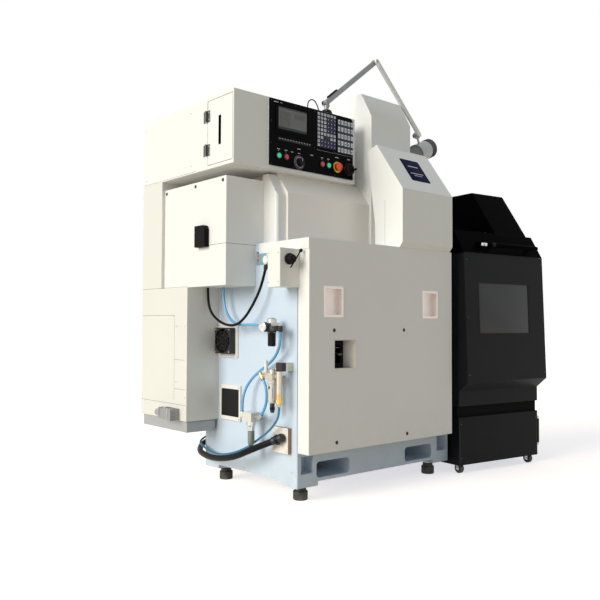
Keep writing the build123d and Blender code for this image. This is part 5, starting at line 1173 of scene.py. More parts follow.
@dataclass
class ControlBox(Assembly):
    """The control box, its door and its rear cabinet."""

    left: float = -257.0
    right: float = 482.0
    back: float = 930.0
    door: Pair = (254.0, 1606.0)
    door_opening: Pair = (184.0, 284.0)
    door_slot: Pair = (16.0, 128.0)
    hinges: Pair = (1504.0, 1656.0)
    hinge_height: float = 52.0

    def build(self) -> None:
        """Dress the box and the cabinet and add their screws, seams, seals and hinge pins."""
        (y, z), left = self.door, self.left
        hinged = replace(IVORY, name="hinged_sheet", zones=tuple(
            Zone((left - 16, 328, low), (left - 0.05, 380, low + self.hinge_height), (0.09, 0.09, 0.092),
                 0.4, 0.5) for low in self.hinges))
        self.dress(hinged, 1.2, "nc_box")
        self.dress(hinged, 0.6, "nc_box_door")
        self.dress(CABINET_PAINTED_SHADE, 1.4, "rear_cabinet")
        back = [(x, rise) for x in (-200, 120, 440) for rise in (420, 900, 1380)]
        back += [(x, rise) for rise in (1730, 1480) for x in (-200, 440)]
        self.piece("box_screws", ZINC, socket_screw(3.6, 1.8),
                   *Seat.row(Side.LEFT, left, (488, 1727), (484, 1480), (903, 1720), (898, 1469), (896, 783),
                             (630, 786), (890, 371), (599, 477), (524, 409), (599, 740), (524, 740)),
                   *Seat.row(Side.BACK, self.back, *back),
                   *Seat.row(Side.RIGHT, self.right, (200, 1480), (200, 1730), (880, 1480), (880, 1730),
                             (880, 420), (880, 1380)))
        self.piece("box_seams", SEAM_GAP, self._seams())
        seal = border(*self.door_opening, 3, [(-5, -1.5), (-5, 0), (5, 0), (5, -1.5)])
        self.piece("door_seal", RUBBER, seal, Seat.on(Side.LEFT, left + 3.2, y, z))
        self.piece("hinge_pins", ZINC, turned([(0, -0.3), (3.6, -0.3), (3.6, 0.8), (2.2, 1.8), (0, 2.1)], 20),
                   *[Seat.on(side, left - 6, 354, low + rise) for low in self.hinges
                     for side, rise in ((Side.TOP, self.hinge_height), (Side.UNDER, 0))])
        lining = [(-1.6, -3.4), (-0.4, -3.4), (-0.4, 0.2), (1.4, 0.4), (1.2, 1.0), (-1.2, 1.0), (-1.6, 0.4)]
        self.piece("door_slot_lining", BLACK_PLASTIC, border(*self.door_slot, 3, lining),
                   Seat.on(Side.LEFT, left, y, z), body="nc_box_door")
        self.piece("door_leaf_screws", ZINC, socket_screw(2.6, 1.0), *Seat.row(Side.LEFT, left - 3, *[
            (336, low + rise) for low in self.hinges for rise in (10, 42)]), body="nc_box_door")

    def _seams(self) -> Surface:
        """Lay the dark joints between the box's and the cabinet's panels."""
        level = [(1450, (440, 640, 926)), (791, (617, 760, 924)), (582, (527, 570, 615)),
                 (445, (519, 570, 615)), (373, (512, 700, 926)), (923, (508, 700, 926))]
        side = [[(self.left, y, z) for y in run] for z, run in level]
        side.append([(self.left, 617, z) for z in (395, 600, 791)])
        back = [[(x, self.back, z) for z in (320, 900, 1430)] for x in (-40, 280)]
        back.append([(x, self.back, 1450) for x in (-250, 100, 476)])
        return joined(seam(1.4, 0.35, path, way.out)
                      for way, paths in ((Side.LEFT, side), (Side.BACK, back)) for path in paths)


@dataclass
class OperatorPanel(Assembly):
    """The black panel with its screen, keys, rings, dials and legends."""

    left: float = -64.0
    bottom: float = 1462.0
    width: float = 524.0
    height: float = 302.0
    face: float = 143.0
    button_rise: float = 47.0
    buttons: tuple[float, ...] = (50, 94, 316, 357)
    stop_place: float = 414.0
    knob_place: float = 172.0
    knob_rise: float = 34.0
    wheel_place: float = 494.0
    key_pitch: Pair = (20.6, 18.6)
    function_pitch: Pair = (21.6, 34)

    def build(self) -> None:
        """Dress the panel's nodes and add its rings, dials, bezel and marks."""
        self.dress(DEEP_BLACK, 0.5, "control_panel")
        self.dress(self._key_finish(), 0.0, "keypad")
        self.dress(self._screen_finish(), 0.0, "screen")
        self.dress(GREEN_LENS, 0.3, "start_button", "cycle_button")
        self.dress(RED_LENS, 0.3, "stop_button", "hold_button")
        self.dress(RED_HEAD, 0.3, "emergency_stop")
        self.dress(BLACK_PLASTIC, 0.3, "feed_knob", "handwheel")
        bezel = [(0.2, -2.6), (0.2, 0.4), (3.0, 3.6), (11, 5.2), (14, 4.6), (15, 2.8), (15, -2.6)]
        self.piece("screen_bezel", DEEP_BLACK, border(172, 102, 1.5, bezel), self._spot(134, 222))
        collar = [(17, 3.4), (17, 4.6), (25.6, 4.6), (27.4, 3.4), (27.8, 0.2), (27.2, 0.2), (26.4, 3.4)]
        self.piece("stop_collar", YELLOW, turned(collar, 48, ring=True),
                   self._spot(self.stop_place, self.button_rise))
        ring = turned([(11.6, 3.6), (11.9, 4.6), (13.6, 4.9), (14.4, 4.2), (14.4, 3.6)], ring=True)
        self.piece("button_rings", DARK_SCREW, ring,
                   *[self._spot(place, self.button_rise) for place in self.buttons])
        knob = self._spot(self.knob_place, self.knob_rise)
        self.piece("knob_dial", DARK_DIAL, self._dial(33, 24), knob)
        self.piece("knob_ticks", WHITE_MARK, plate(0.9, 4, 0.3, 0.35, 0.1, 0.55),
                   *[knob.rolled(angle, 28) for angle in np.linspace(225, -45, 19)])
        top = plate(2.2, 14, 0.8, 0.7, 0.2, -0.2).seated(knob.moved(up=8.5, out=26))
        side = plate(2.2, 5.5, 0.8, 1.5, 0.2, -0.2).seated(knob.moved(up=19.8, out=6.2))
        self.piece("knob_pointer", WHITE_MARK, top + side, body="feed_knob")
        skirt = turned([(22.6, 1.4), (23.5, 1.7), (23.5, 5.3), (22.6, 5.6)], 48, ring=True)
        self.piece("knob_skirt", CHROME, skirt, knob, body="feed_knob")
        self.piece("wheel_dial", DARK_DIAL, self._dial(29.5, 27.4),
                   self._spot(self.wheel_place, self.button_rise))
        self._rim()
        self.piece("panel_screws", DARK_SCREW, socket_screw(2.5, 1.3), *[self._spot(*place) for place in (
            (8, 8), (8, 100), (8, 200), (8, 292), (150, 292), (268, 292), (268, 8), (268, 118), (400, 118),
            (516, 118), (400, 294), (516, 8), (140, 8), (400, 8))])
        self.piece("panel_legends", WHITE_MARK, self._legends())

    def _spot(self, across: float, rise: float) -> Seat:
        """Give a seat on the panel's face, from its lower left corner."""
        return Seat.on(Side.FRONT, self.left + across, self.face, self.bottom + rise)

    @staticmethod
    def _dial(outer: float, inner: float) -> Surface:
        """Make a flat scale ring with a rolled rim."""
        return turned([(7.0, 0.1), (7.0, 0.6), (inner, 0.6), (outer - 3, 0.6), (outer - 2, 2.2),
                       (outer - 0.6, 2.4), (outer, 1.2), (outer, 0.1)], 48, ring=True)

    def _rim(self) -> None:
        """Lay the bright rim along the panel's left, lower and right edges."""
        level, top, low = self.face + 7.5, self.bottom + self.height, self.bottom - 1.5
        left, right = self.left - 1.5, self.left + self.width + 1.5
        corners = [(left, level, top - 2), (left, level, low), (right, level, low), (right, level, top - 30)]
        self.piece("panel_rim", ZINC, wire(2.2, 8, corners, Side.FRONT.out))

    def _legends(self) -> Surface:
        """Make the plain white marks over the buttons and along the panel's joints."""
        marks = [(50, 78, 16, 3), (94, 78, 16, 3), (130, 76, 14, 3), (172, 96, 20, 3), (172, 76, 14, 3),
                 (250, 80, 18, 3), (316, 78, 14, 3), (357, 78, 14, 3), (414, 94, 24, 3), (494, 96, 18, 3),
                 (36, 289, 26, 4), (66, 289, 14, 4), (50, 70, 3, 3), (94, 70, 3, 3), (316, 70, 3, 3),
                 (357, 70, 3, 3)]
        made = joined(plate(width, tall, 1.0, 0.45, 0.15, -0.1).seated(self._spot(across, rise))
                      for across, rise, width, tall in marks)
        line = [self._spot(across, 112).origin for across in (284, 400, 514)]
        return made + seam(0.8, 0.3, line, Side.FRONT.out)

    def _key_finish(self) -> Finish:
        """Make the keys' finish: pale keys with marks, a blue block and a dark mat between them."""
        left, low, high = self.left, self.bottom + 110, self.bottom + self.height
        top, mat, cap = self.face - 5, self.face - 0.95, self.face - 2.2
        pale, blue = (0.74, 0.78, 0.88), (0.008, 0.010, 0.10)
        ink, light = (0.06, 0.06, 0.08), (0.5, 0.52, 0.72)
        (wide, tall), half = self.key_pitch, 8.8
        first, rows = left + 293.5, self.bottom + 137
        letters = (first - wide / 2, 0, rows - tall / 2), self.key_pitch
        functions = (left + 416.2, 0, self.bottom + 117), self.function_pitch
        whole = (left + 284, top, low), (left + 413, cap, high)
        beside = (left + 417, top, low), (left + 526, cap, high)

        def block(columns: Pair, levels: Pair, color: Triple, mark: Pair = (0.34, 0.33)) -> Legend:
            """Colour the caps of a block of letter keys, by its first and last column and row."""
            return Legend(*letters, mark, color,
                          (first + columns[0] * wide - half, top, rows + levels[0] * tall - half),
                          (first + columns[1] * wide + half, mat, rows + levels[1] * tall + half), fill=1.0)

        return Finish(
            "panel_keys", Slot.KEY_PLASTIC, (0.012, 0.012, 0.014), (0.02, 0.02, 0.022), 0.5, patch=30,
            grain=0.4, relief=0.01, legends=(
                Legend(*letters, (0.33, 0.31), pale, *whole, fill=1.0),
                Legend(*functions, (0.34, 0.31), pale, *beside, fill=1.0),
                Legend(*letters, (0.2, 0.16), ink, *whole), Legend(*functions, (0.2, 0.13), ink, *beside),
                block((3, 5), (4, 7), blue), block((1, 5), (0, 1), blue),
                block((2, 3), (2, 2), (0.004, 0.004, 0.004)),
                block((3, 5), (4, 7), light, (0.14, 0.12)), block((1, 5), (0, 1), light, (0.14, 0.12)),
                Legend((left + 46.75, 0, self.bottom + 120.25), (16.5, 16.5), (0.17, 0.15), (0.62, 0.64, 0.7),
                       (left + 44, top, self.bottom + 118), (left + 250, mat, self.bottom + 139), fill=1.0)))

    def _screen_finish(self) -> Finish:
        """Make the screen's finish: a dim grey page with plain dark lines of marks."""
        (left, low), (right, high), front = (-16.0, 1633.0), (156.0, 1735.0), self.face - 1
        ink = (0.05, 0.053, 0.058)
        return Finish(
            "display_page", Slot.SCREEN_GLASS, (0.165, 0.17, 0.17), (0.19, 0.195, 0.195), 0.2, patch=90,
            grain=0.4, relief=0.0, drift=0.05, glow=0.05, specular=0.25, zones=(
                Zone((left, front, high - 7), (right, 200, high), (0.09, 0.095, 0.10), 0.2),
                Zone((left, front, low), (right, 200, low + 12), (0.045, 0.048, 0.052), 0.2)),
            legends=(
                Legend((-12, 0, 1645), (72, 6), (0.42, 0.26), ink, (-12, front, 1648), (62, 200, 1718), 30),
                Legend((70, 0, 1645), (82, 6), (0.4, 0.26), ink, (70, front, 1690), (150, 200, 1718), 34)))


@dataclass
class EndFittings(Assembly):
    """What is fixed to the left ends of the bed and the cabinet: boxes, fan, vent, plates, connector."""

    bed: float = -78.0
    fan: Pair = (426.0, 673.0)
    fan_back: float = -85.0
    fan_front: float = -116.0
    vent: Pair = (402.0, 386.0)
    vent_face: float = -87.0
    cable_plate: Pair = (20.5, 260.0)
    cable_face: float = -98.0
    junction: Pair = (-37.0, 985.0)
    junction_face: float = -184.0
    blue_plate: Pair = (181.0, 1045.0)
    gland: Triple = (-112.0, -2.0, 272.0)
    conduit_way: Triple = (-58.0, 122.0, -55.0)
    connector: Triple = (-259.5, 631.0, 328.0)
    lever: tuple[Pair, ...] = ((-21.5, -10), (-49.5, -10), (-49.5, 28), (-21.5, 28))
    switch: Triple = (-134.0, -78.0, 1021.0)
    grip_foot: Triple = (-150.0, -106.0, 983.0)
    sender: Triple = (-127.0, 82.0, 1028.0)

    def build(self) -> None:
        """Dress the fittings and add their screws, filter, rings, marks and grips."""
        self._dress()
        frames = ((self.fan_back, self.fan, 70, 70), (self.fan_front, self.fan, 52, 52),
                  (self.vent_face, self.vent, 73, 72), (self.cable_face, self.cable_plate, 42, 45),
                  (self.junction_face, self.junction, 32, 60))
        self.piece("fitting_screws", ZINC, socket_screw(3.4, 2.0), *[
            Seat.on(Side.LEFT, level, y + across, z + up) for level, (y, z), wide, tall in frames
            for across in (-wide, wide) for up in (-tall, tall)])
        self.piece("vent_filter", RUBBER, self._filter(),
                   Seat.on(Side.LEFT, self.vent_face + 2.5, *self.vent))
        note = Seat.on(Side.LEFT, self.bed, *self.blue_plate)
        self.piece("blue_plate", SKY_PLATE, plate(72, 62, 2, 1.2, 0.4, -0.2), note)
        self.piece("plate_line", TEAL_HOSE, plate(60, 6.0, 1.2, 0.5, 0.2, 0.9), note.moved(up=25))
        self.piece("plate_marks", RED_HEAD, joined(
            plate(width, width - 1, 3.0, 0.5, 0.2, 0.9).seated(note.moved(-22, up))
            for up, width in ((11, 11), (-8, 15))))
        nut = [(16.8, 10), (20.5, 10.5, 0.2), (22, 12, 1), (22, 24, 1), (20.5, 25.5, 0.2), (16.8, 26)]
        self.piece("gland_rings", BLACK_PLASTIC, turned(nut, 64, sides=8) + turned([nut[0], nut[-1]], 64),
                   Seat.towards(self.gland, self.conduit_way))
        x, y, z = self.connector
        self.piece("connector_lever", ZINC, joined(
            wire(2.0, 6, [(x + reach, y + side, z + rise) for reach, rise in self.lever], Side.BACK.out)
            for side in (-41, 41)))
        self.piece("connector_insert", BLACK_PLASTIC,
                   border(114, 50, 8, [(-1, -1.6), (-1, 1.6), (1.2, 1.6), (1.2, -1.6)]),
                   Seat.on(Side.LEFT, *self.connector))
        self.piece("switch_ring", ZINC,
                   turned([(7, 0.1), (25, 0.1), (27, 0.6), (27, 1.0), (7, 1.0)], 40, ring=True),
                   Seat.on(Side.FRONT, *self.switch))
        angle = np.linspace(0, math.pi, 12)
        grip = turned(np.column_stack([7.4 * np.sin(angle), 92 - 8.5 * np.cos(angle)]), 24)
        self.piece("switch_grip", BLACK_PLASTIC, grip, Seat.towards(self.grip_foot, (0.6, 0, 0.8), (0, 1, 0)),
                   body="selector_switch")
        self.piece("sender_band", CHROME,
                   turned([(17.9, 0), (18.5, 0.5), (18.5, 3.5), (17.9, 4)], 40, ring=True),
                   Seat.on(Side.LEFT, *self.sender))
        self.piece("fan_label_hub", BLACK_PLASTIC,
                   turned([(0, -0.3), (17, -0.3), (17, 0.4), (14, 1.2), (0, 1.8)], 36),
                   Seat.on(Side.LEFT, self.fan_front, *self.fan))
        # A thin black disc behind the rotor: painted shade standing for the dark hole behind the blades.
        self.piece("fan_hole_painted_shade", RUBBER, turned([(0, 0), (56.6, 0), (56.6, 0.8), (0, 0.8)], 48),
                   Seat.on(Side.LEFT, self.fan_back, *self.fan))

    def _dress(self) -> None:
        """Dress the fittings, whose frames, openings and sockets have tones of their own."""
        self.dress(Finish(
            "junction_sheet", Slot.IVORY_PAINT, (0.83, 0.82, 0.78), (0.79, 0.78, 0.74), 0.4, relief=0.03,
            rub=0.25, worn=(0.9, 0.89, 0.86), zones=(
                Zone((-131, 60, 920), (-77.5, 130, 1060), BLACK_TONE, 0.4),
                Zone((-150, 60, 920), (-100, 130, 1008), BLACK_TONE, 0.4),
                Zone((-140, 60, 1008), (-130.9, 101, 1060), (0.85, 0.85, 0.83), 0.35))), 0.8, "junction_box")
        self.dress(BLACK_PLASTIC, 0.4, "selector_switch")
        self.dress(Finish(
            "fan_plastic", Slot.BLACK_PLASTIC, BLACK_TONE, (0.02, 0.02, 0.021), patch=60, grain=0.7,
            relief=0.03, zones=(Zone((-85.2, 340, 590), (-77, 510, 760), (0.82, 0.81, 0.78), 0.42),)),
            0.5, "fan_housing")
        self.dress(BLACK_PLASTIC, 0.3, "fan_rotor")
        self.dress(Finish(
            "vent_frame", Slot.IVORY_PAINT, (0.82, 0.81, 0.78), (0.78, 0.77, 0.74), 0.42, patch=60, zones=(
                Zone((-86.9, 333.2, 322.6), (-77, 470.8, 449.4), BLACK_TONE, 0.6),)), 0.4, "vent_grille")
        self.dress(Finish(
            "cable_plate_sheet", Slot.IVORY_PAINT, (0.84, 0.79, 0.72), (0.78, 0.73, 0.66), patch=80, zones=(
                # Painted shade: the plate's sides and edges behind its face are brown where less light falls
                # on them.
                Zone((-97.5, -33, 200), (-77, 74, 320), (0.33, 0.22, 0.16), 0.5),
                Zone((-190, -40, 200), (-98.6, 90, 330), BLACK_TONE, 0.35),
                Zone((200, 610, 100), (400, 760, 300), (0.55, 0.63, 0.75), 0.42),
                Zone((200, 610, 100), (251.5, 760, 300), BLACK_TONE, 0.4))), 0.8, "cable_plate")
        self.dress(Finish(
            "connector_casting", Slot.GREY_PAINT, (0.33, 0.34, 0.35), (0.27, 0.28, 0.29), 0.4, 0.2, patch=40,
            grain=1.2, relief=0.08, rub=0.4, worn=(0.6, 0.6, 0.6)), 0.8, "cabinet_connector")

    @staticmethod
    def _filter() -> Surface:
        """Make the crowned filter mat in the vent.

        Formula: height = 1.6 (1 - x^2)(1 - y^2) + 0.35 sin(26 x) sin(24 y), for x and y from -1 to 1.
        """
        x, y = np.meshgrid(np.linspace(-1, 1, 60), np.linspace(-1, 1, 56), indexing="ij")
        crown = 1.6 * (1 - x**2) * (1 - y**2) + 0.35 * np.sin(26 * x) * np.sin(24 * y)
        top, under = (np.stack([x * 67.5, y * 62, rise], axis=-1) for rise in (crown, np.full_like(x, -1.2)))
        made = Surface().grid(top).grid(under)
        for edge in (np.s_[0], np.s_[-1], np.s_[:, 0], np.s_[:, -1]):
            made.grid(np.stack([top[edge], under[edge]]))
        return made


@dataclass
class AirUnits(Assembly):
    """The regulator, the filter with its valve, and the mist separator."""

    x: float = -138.0
    regulator: Pair = (30.0, 741.0)
    filter: Pair = (24.0, 546.0)
    valve: float = -21.0
    mist: Pair = (170.0, 350.0)
    elbow_tilt: float = 38.0

    def build(self) -> None:
        """Dress the units and add their dials, fittings, glass and screws."""
        self._dress()
        self._gauge(Seat.on(Side.LEFT, self.x - 52, self.regulator[0], self.regulator[1] - 2))
        self._fittings()
        self._bowls()

    def _dress(self) -> None:
        """Dress the frame's air units in their metals and plastics."""
        y, z = self.regulator
        self.dress(Finish(
            "regulator_metal", Slot.CHROME, (0.6, 0.59, 0.56), (0.5, 0.49, 0.46), 0.3, 0.85, patch=20,
            relief=0.01, drift=0.2, zones=(
                Zone((-200, y - 24, z - 25), (-160.4, y + 24, z + 25), BLACK_TONE, 0.4),
                Zone((-165, y - 22, z - 50), (-110, y + 22, z - 16.2), BLACK_TONE, 0.42),
                Zone((-165, y - 80, z - 40), (-110, y - 24.4, z + 8), BLACK_TONE, 0.4),
                Zone((-165, y + 24.3, z - 20), (-110, y + 60, z + 24), BRASS_TONE, 0.26, 1.0))),
            0.5, "air_regulator")
        self.dress(BLACK_PLASTIC, 0.4, "regulator_knob")
        (y, z), valve = self.filter, self.valve
        self.dress(Finish(
            "filter_metal", Slot.CHROME, (0.62, 0.6, 0.55), (0.54, 0.52, 0.47), 0.32, 0.75, patch=20,
            relief=0.01, drift=0.2, zones=(
                Zone((-165, y - 22, z - 127), (-110, y + 22, z - 44), (0.66, 0.64, 0.57), 0.3, 0.2),
                Zone((-165, y - 20, z - 180), (-110, y + 20, z - 127), BLACK_TONE, 0.4),
                Zone((-165, y + 24.2, z - 60), (-110, y + 100, z), BRASS_TONE, 0.26, 1.0),
                Zone((-165, y + 33, z + 1), (-120, y + 55, z + 60), (0.78, 0.77, 0.74), 0.5),
                Zone((-160, valve - 25, z + 7), (-118, valve + 22, z + 60), BLACK_TONE, 0.4),
                Zone((-165, valve - 16, z - 84), (-110, valve + 16, z + 7.5), (0.74, 0.66, 0.56), 0.3, 0.5),
                Zone((-165, valve - 16, z - 150), (-110, valve + 16, z - 85), BRASS_TONE, 0.26, 1.0))),
            0.4, "air_filter")
        y, z = self.mist
        self.dress(Finish(
            "mist_metal", Slot.GREY_PAINT, (0.72, 0.70, 0.64), (0.66, 0.64, 0.58), 0.35, 0.25, patch=20,
            relief=0.02, zones=(
                Zone((-165, y - 24, z - 62), (-110, y + 24, z - 23), (0.7, 0.7, 0.7), 0.2, 1.0),
                Zone((-165, y - 24, z - 126), (-110, y + 24, z - 62), (0.21, 0.245, 0.225), 0.4, 0.3),
                Zone((-165, y - 24, z - 170), (-110, y + 24, z - 126), BLACK_TONE, 0.4),
                Zone((-165, y - 90, z - 20), (-110, y - 31, z + 30), (0.42, 0.43, 0.42), 0.35, 0.6))),
            0.4, "mist_filter")

    def _gauge(self, seat: Seat) -> None:
        """Make the gauge's crowned face, rolled rim, ticks and tapered needle.

        Formula: the needle's half width is 0.9 (1 - s) + 0.15 at share s of its length, in two layers.

        Args:
            seat: The middle of the face.
        """
        face = turned([(0, -0.4), (18.4, -0.4), (18.4, 0.3), (10, 0.45), (0, 0.5)], 40)
        self.piece("gauge_face", DIAL_WHITE, face, seat)
        rim = [(17.4, 0.2), (18.0, 1.8), (20.0, 2.3), (21.6, 1.2), (21.8, -3), (21.0, -3), (20.4, -1),
               (18.4, -0.2)]
        self.piece("gauge_rim", CHROME, turned(rim, 48, ring=True), seat)
        sizes = ((0.7, 3.4), *[(0.4, 1.8)] * 4)
        ticks = [(*sizes[number % 5], angle) for number, angle in enumerate(np.linspace(225, -45, 31))]
        self.piece("gauge_scale", BLACK_PLASTIC, joined(
            plate(wide, reach, 0.15, 0.25, 0.08, 0.3).seated(seat.rolled(angle, 16.2 - reach / 2))
            for wide, reach, angle in ticks))
        s = np.linspace(0, 1, 9)
        half = 0.9 * (1 - s) + 0.15
        edges = [np.stack([sign * half, 18 * s - 4, np.full_like(s, rise)], axis=-1)
                 for sign, rise in ((-1, 0.75), (1, 0.75), (1, 0.45), (-1, 0.45))]
        blade = Surface().grid(np.stack(edges, axis=1), around=True, capped=True)
        cap = turned([(0, 0.3), (2.2, 0.3), (2.0, 1.1), (0, 1.4)], 18)
        self.piece("gauge_needle", RED_HEAD, blade.seated(seat.rolled(118)) + cap.seated(seat))

    def _fittings(self) -> None:
        """Make the release rings, the brass hexagons, the screws, the knob's cap and the silencer's cup."""
        x, valve, tilt = self.x, self.valve, math.radians(self.elbow_tilt)
        (reg_y, reg_z), (fil_y, fil_z), (mist_y, mist_z) = self.regulator, self.filter, self.mist
        down, up = (0, -math.sin(tilt), -math.cos(tilt)), (0, -math.sin(tilt), math.cos(tilt))
        ring = turned([(6.1, 0.4), (9.2, 0.4), (9.6, 1.2), (9.2, 3.4), (8.0, 4.2), (6.1, 4.2)], 28, ring=True)
        self.piece("release_rings", BLUE_TUBE, ring, Seat.on(Side.BACK, x, reg_y + 34, reg_z + 4),
                   Seat.on(Side.UNDER, x, reg_y - 57, reg_z - 22),
                   Seat.on(Side.TOP, x, mist_y + 66, mist_z + 14),
                   Seat.towards((x, fil_y + 78, fil_z - 14), down).moved(out=20),
                   Seat.towards((x, mist_y - 64, mist_z), up).moved(out=14))
        nuts = hex_nut(12.5, 10, 8.5).seated(
            Seat.on(Side.BACK, x, fil_y + 26, fil_z - 14), Seat.on(Side.UNDER, x, valve, fil_z - 84),
            Seat.on(Side.BACK, x, reg_y + 24.5, reg_z + 4))
        large = hex_nut(15, 12, 10).seated(Seat.on(Side.UNDER, x, valve, fil_z - 112))
        self.piece("brass_nuts", BRASS, nuts + large)
        self.piece("bracket_screws", ZINC, socket_screw(2.6, 1.6), *[
            Seat.on(Side.LEFT, x - 22, y + across, z - 6)
            for (y, z), half in ((self.regulator, 18), (self.filter, 18), (self.mist, 23))
            for across in (-half, half)])
        cap = turned([(0, 0), (17.4, 0), (17.9, 1.2), (17.9, 3.6), (17.4, 4.8), (0, 4.8)], 40)
        self.piece("knob_cap", BLACK_PLASTIC, cap, Seat.on(Side.UNDER, x, reg_y, reg_z - 29),
                   body="regulator_knob")
        cup = [(0, 0), (7.4, 0), (8.2, 1), (8.2, 30), (7.6, 38), (5.4, 46), (2.6, 50), (0, 51)]
        self.piece("silencer_cup", SINTER, turned(cup, 28), Seat.on(Side.TOP, x, fil_y + 43, fil_z + 1))

    def _bowls(self) -> None:
        """Make the filter's level window and guard, the separator's knurled bands and both drain cocks."""
        x, (y, z), (mist_y, mist_z) = self.x, self.filter, self.mist
        out = (-0.66, -0.75, 0.0)
        glass = plate(5.4, 44, 2.6, 1.6, 0.8, -0.8).seated(
            Seat.towards((x + 18 * out[0], y + 18 * out[1], z - 84), out))
        badge = plate(9, 13, 1.5, 1.6, 0.6, -0.6).seated(Seat.on(Side.LEFT, x - 17.6, y, z - 62))
        self.piece("filter_window", LEVEL_GLASS, glass + badge)
        ring = turned([(18.2, 0), (19.6, 0.4), (19.6, 5.6), (18.2, 6)], 40, ring=True)
        bars = [Seat.towards((x, y, z - 84), (math.cos(angle), math.sin(angle), 0)).moved(out=18)
                for angle in np.radians((45, 135, 225, 315))]
        self.piece("bowl_guard", ZINC, ring.seated(*[Seat.on(Side.TOP, x, y, z - drop) for drop in (122, 52)])
                   + plate(5, 66, 1.5, 1.4, 0.5, -0.2).seated(*bars))
        band = turned([(17.5, 0), (19.9, 0.3, 0.5), (19.9, 4.7, 0.5), (17.5, 5)], 96, sides=24)
        self.piece("mist_bands", CHROME, band,
                   *[Seat.on(Side.TOP, x, mist_y, mist_z - drop) for drop in (30, 40)])
        grip = [(0, 0), (9.8, 0), (11.2, 1.5, 0.8), (11.2, 9.5, 0.8), (9.8, 11), (0, 11)]
        self.piece("drain_cocks", BLACK_PLASTIC, turned(grip, 60, sides=10),
                   Seat.on(Side.UNDER, x, y, z - 144), Seat.on(Side.UNDER, x, mist_y, mist_z - 134))


@dataclass
class WorkLamp(Assembly):
    """The arm lamp on the control box."""

    base: Triple = (322.0, 187.0, 1768.0)
    base_height: float = 14.5
    screw_circle: float = 24.4
    shoulder: Triple = (322.0, 187.0, 1830.0)
    elbow: Triple = (666.0, 187.0, 2111.0)
    wrist: Triple = (1003.0, 187.0, 1789.0)
    head_tilt: float = 24.0
    head_drop: float = 92.0
    head_reach: float = 14.0
    head_radius: float = 50.0
    head_length: float = 138.0

    def build(self) -> None:
        """Dress the lamp and add its clip, rails, knobs, fins and glass."""
        self.dress(BLACK_PLASTIC, 0.8, "lamp_base")
        self.dress(LAMP_METAL, 0.8, "lamp_post", "lamp_lower_arm")
        self.dress(LAMP_METAL_PAINTED_LIGHT, 0.8, "lamp_upper_arm")
        self.dress(LAMP_ENAMEL, 0.6, "lamp_head")
        way = np.subtract(self.elbow, self.shoulder)
        way /= np.linalg.norm(way)
        foot = Seat(self.shoulder, way, np.cross(way, (0, 1, 0)), Side.FRONT.out)
        self.piece("arm_clip", BLACK_PLASTIC, plate(78, 9, 4, 13, 2.5, -6.0), foot.moved(62, 15.5),
                   body="lamp_lower_arm")
        self.piece("lower_arm_rails", LAMP_METAL, self._rails(self.shoulder, self.elbow, -6.0),
                   body="lamp_lower_arm")
        self.piece("upper_arm_rails", LAMP_METAL_PAINTED_LIGHT, self._rails(self.elbow, self.wrist, -19.0),
                   body="lamp_upper_arm")
        for name, (x, y, z), reach, body in (("shoulder_knob", self.shoulder, 13.0, "lamp_lower_arm"),
                                             ("elbow_knob", self.elbow, 7.0, "lamp_lower_arm"),
                                             ("wrist_knob", self.wrist, 15.0, "lamp_upper_arm")):
            self.piece(name, BLACK_PLASTIC, self._knob(), Seat.on(Side.BACK, x, y + reach, z), body=body)
        self._head()
        x, y, z = self.base
        reach = self.screw_circle
        self.piece("base_screws", ZINC, socket_screw(2.2, 1.6), *[
            Seat.on(Side.TOP, x + reach * math.cos(angle), y + reach * math.sin(angle), z + self.base_height)
            for angle in np.radians((45, 135, 225, 315))])

    @staticmethod
    def _rails(start: Triple, end: Triple, side: float) -> Surface:
        """Lay two slim pressed ribs along an arm's near face.

        Args:
            start: The arm's first joint.
            end: The arm's second joint.
            side: The near face, measured from the lamp's plane.

        Returns:
            The ribs.
        """
        reach = math.dist(start, end)
        way = np.subtract(end, start) / reach
        arm = Seat(start, way, np.cross(way, Side.FRONT.out), Side.FRONT.out).moved(out=-side)
        paths = ([arm.moved(place, offset).origin for place in (26, 120, 240, reach - 26)]
                 for offset in (-6.5, 6.5))
        return joined(seam(4.2, 1.5, path, Side.FRONT.out) for path in paths)

    @staticmethod
    def _knob() -> Surface:
        """Make a lobed clamping knob.

        Formula: the radius at angle t is 12 (1 + 0.08 cos 6 t), drawn in at the rims.
        """
        angle = np.linspace(0, 2 * math.pi, 48, endpoint=False)[None, :]
        share = np.array([0.0, 0.86, 1.0, 1.0, 0.86, 0.0])[:, None]
        rise = np.array([0.0, 0.0, 1.5, 9.5, 11.0, 11.6])[:, None]
        radius = 12 * share * (1 + 0.08 * np.cos(6 * angle))
        points = np.stack([radius * np.cos(angle), radius * np.sin(angle), rise + 0 * angle], axis=-1)
        return Surface().grid(points, around=True)

    def _head(self) -> None:
        """Make the cooling fins round the back of the head, and the rim and domed glass of its mouth."""
        tilt, half, radius = math.radians(self.head_tilt), self.head_length / 2, self.head_radius
        way, down = np.array([(math.cos(tilt), 0, math.sin(tilt)), (math.sin(tilt), 0, -math.cos(tilt))])
        head = Seat.towards(self.wrist + down * self.head_drop + way * self.head_reach, way, (0, 1, 0))
        fin = [(radius - 4, 0), (radius + 2.4, 0.3), (radius + 2.4, 2.2), (radius - 4, 2.5)]
        self.piece("lamp_fins", LAMP_DARK, turned(fin, 56, ring=True),
                   *[head.moved(out=half - 46 + 8 * step) for step in range(5)], body="lamp_head")
        angle = np.linspace(0, math.pi / 2, 8)
        dome = np.column_stack([(radius - 5) * np.sin(angle), 6 - 5 * np.cos(angle)])
        self.piece("lamp_glass", LAMP_LENS, turned([*dome, (radius - 5, 9), (0, 9)], 48),
                   head.moved(out=1 - half), body="lamp_head")
        mouth = [(radius - 6, 0), (radius + 1, 0.6), (radius + 1, 5.4), (radius - 4, 6)]
        self.piece("lamp_mouth", LAMP_METAL, turned(mouth, 56, ring=True), head.moved(out=-half - 1),
                   body="lamp_head")


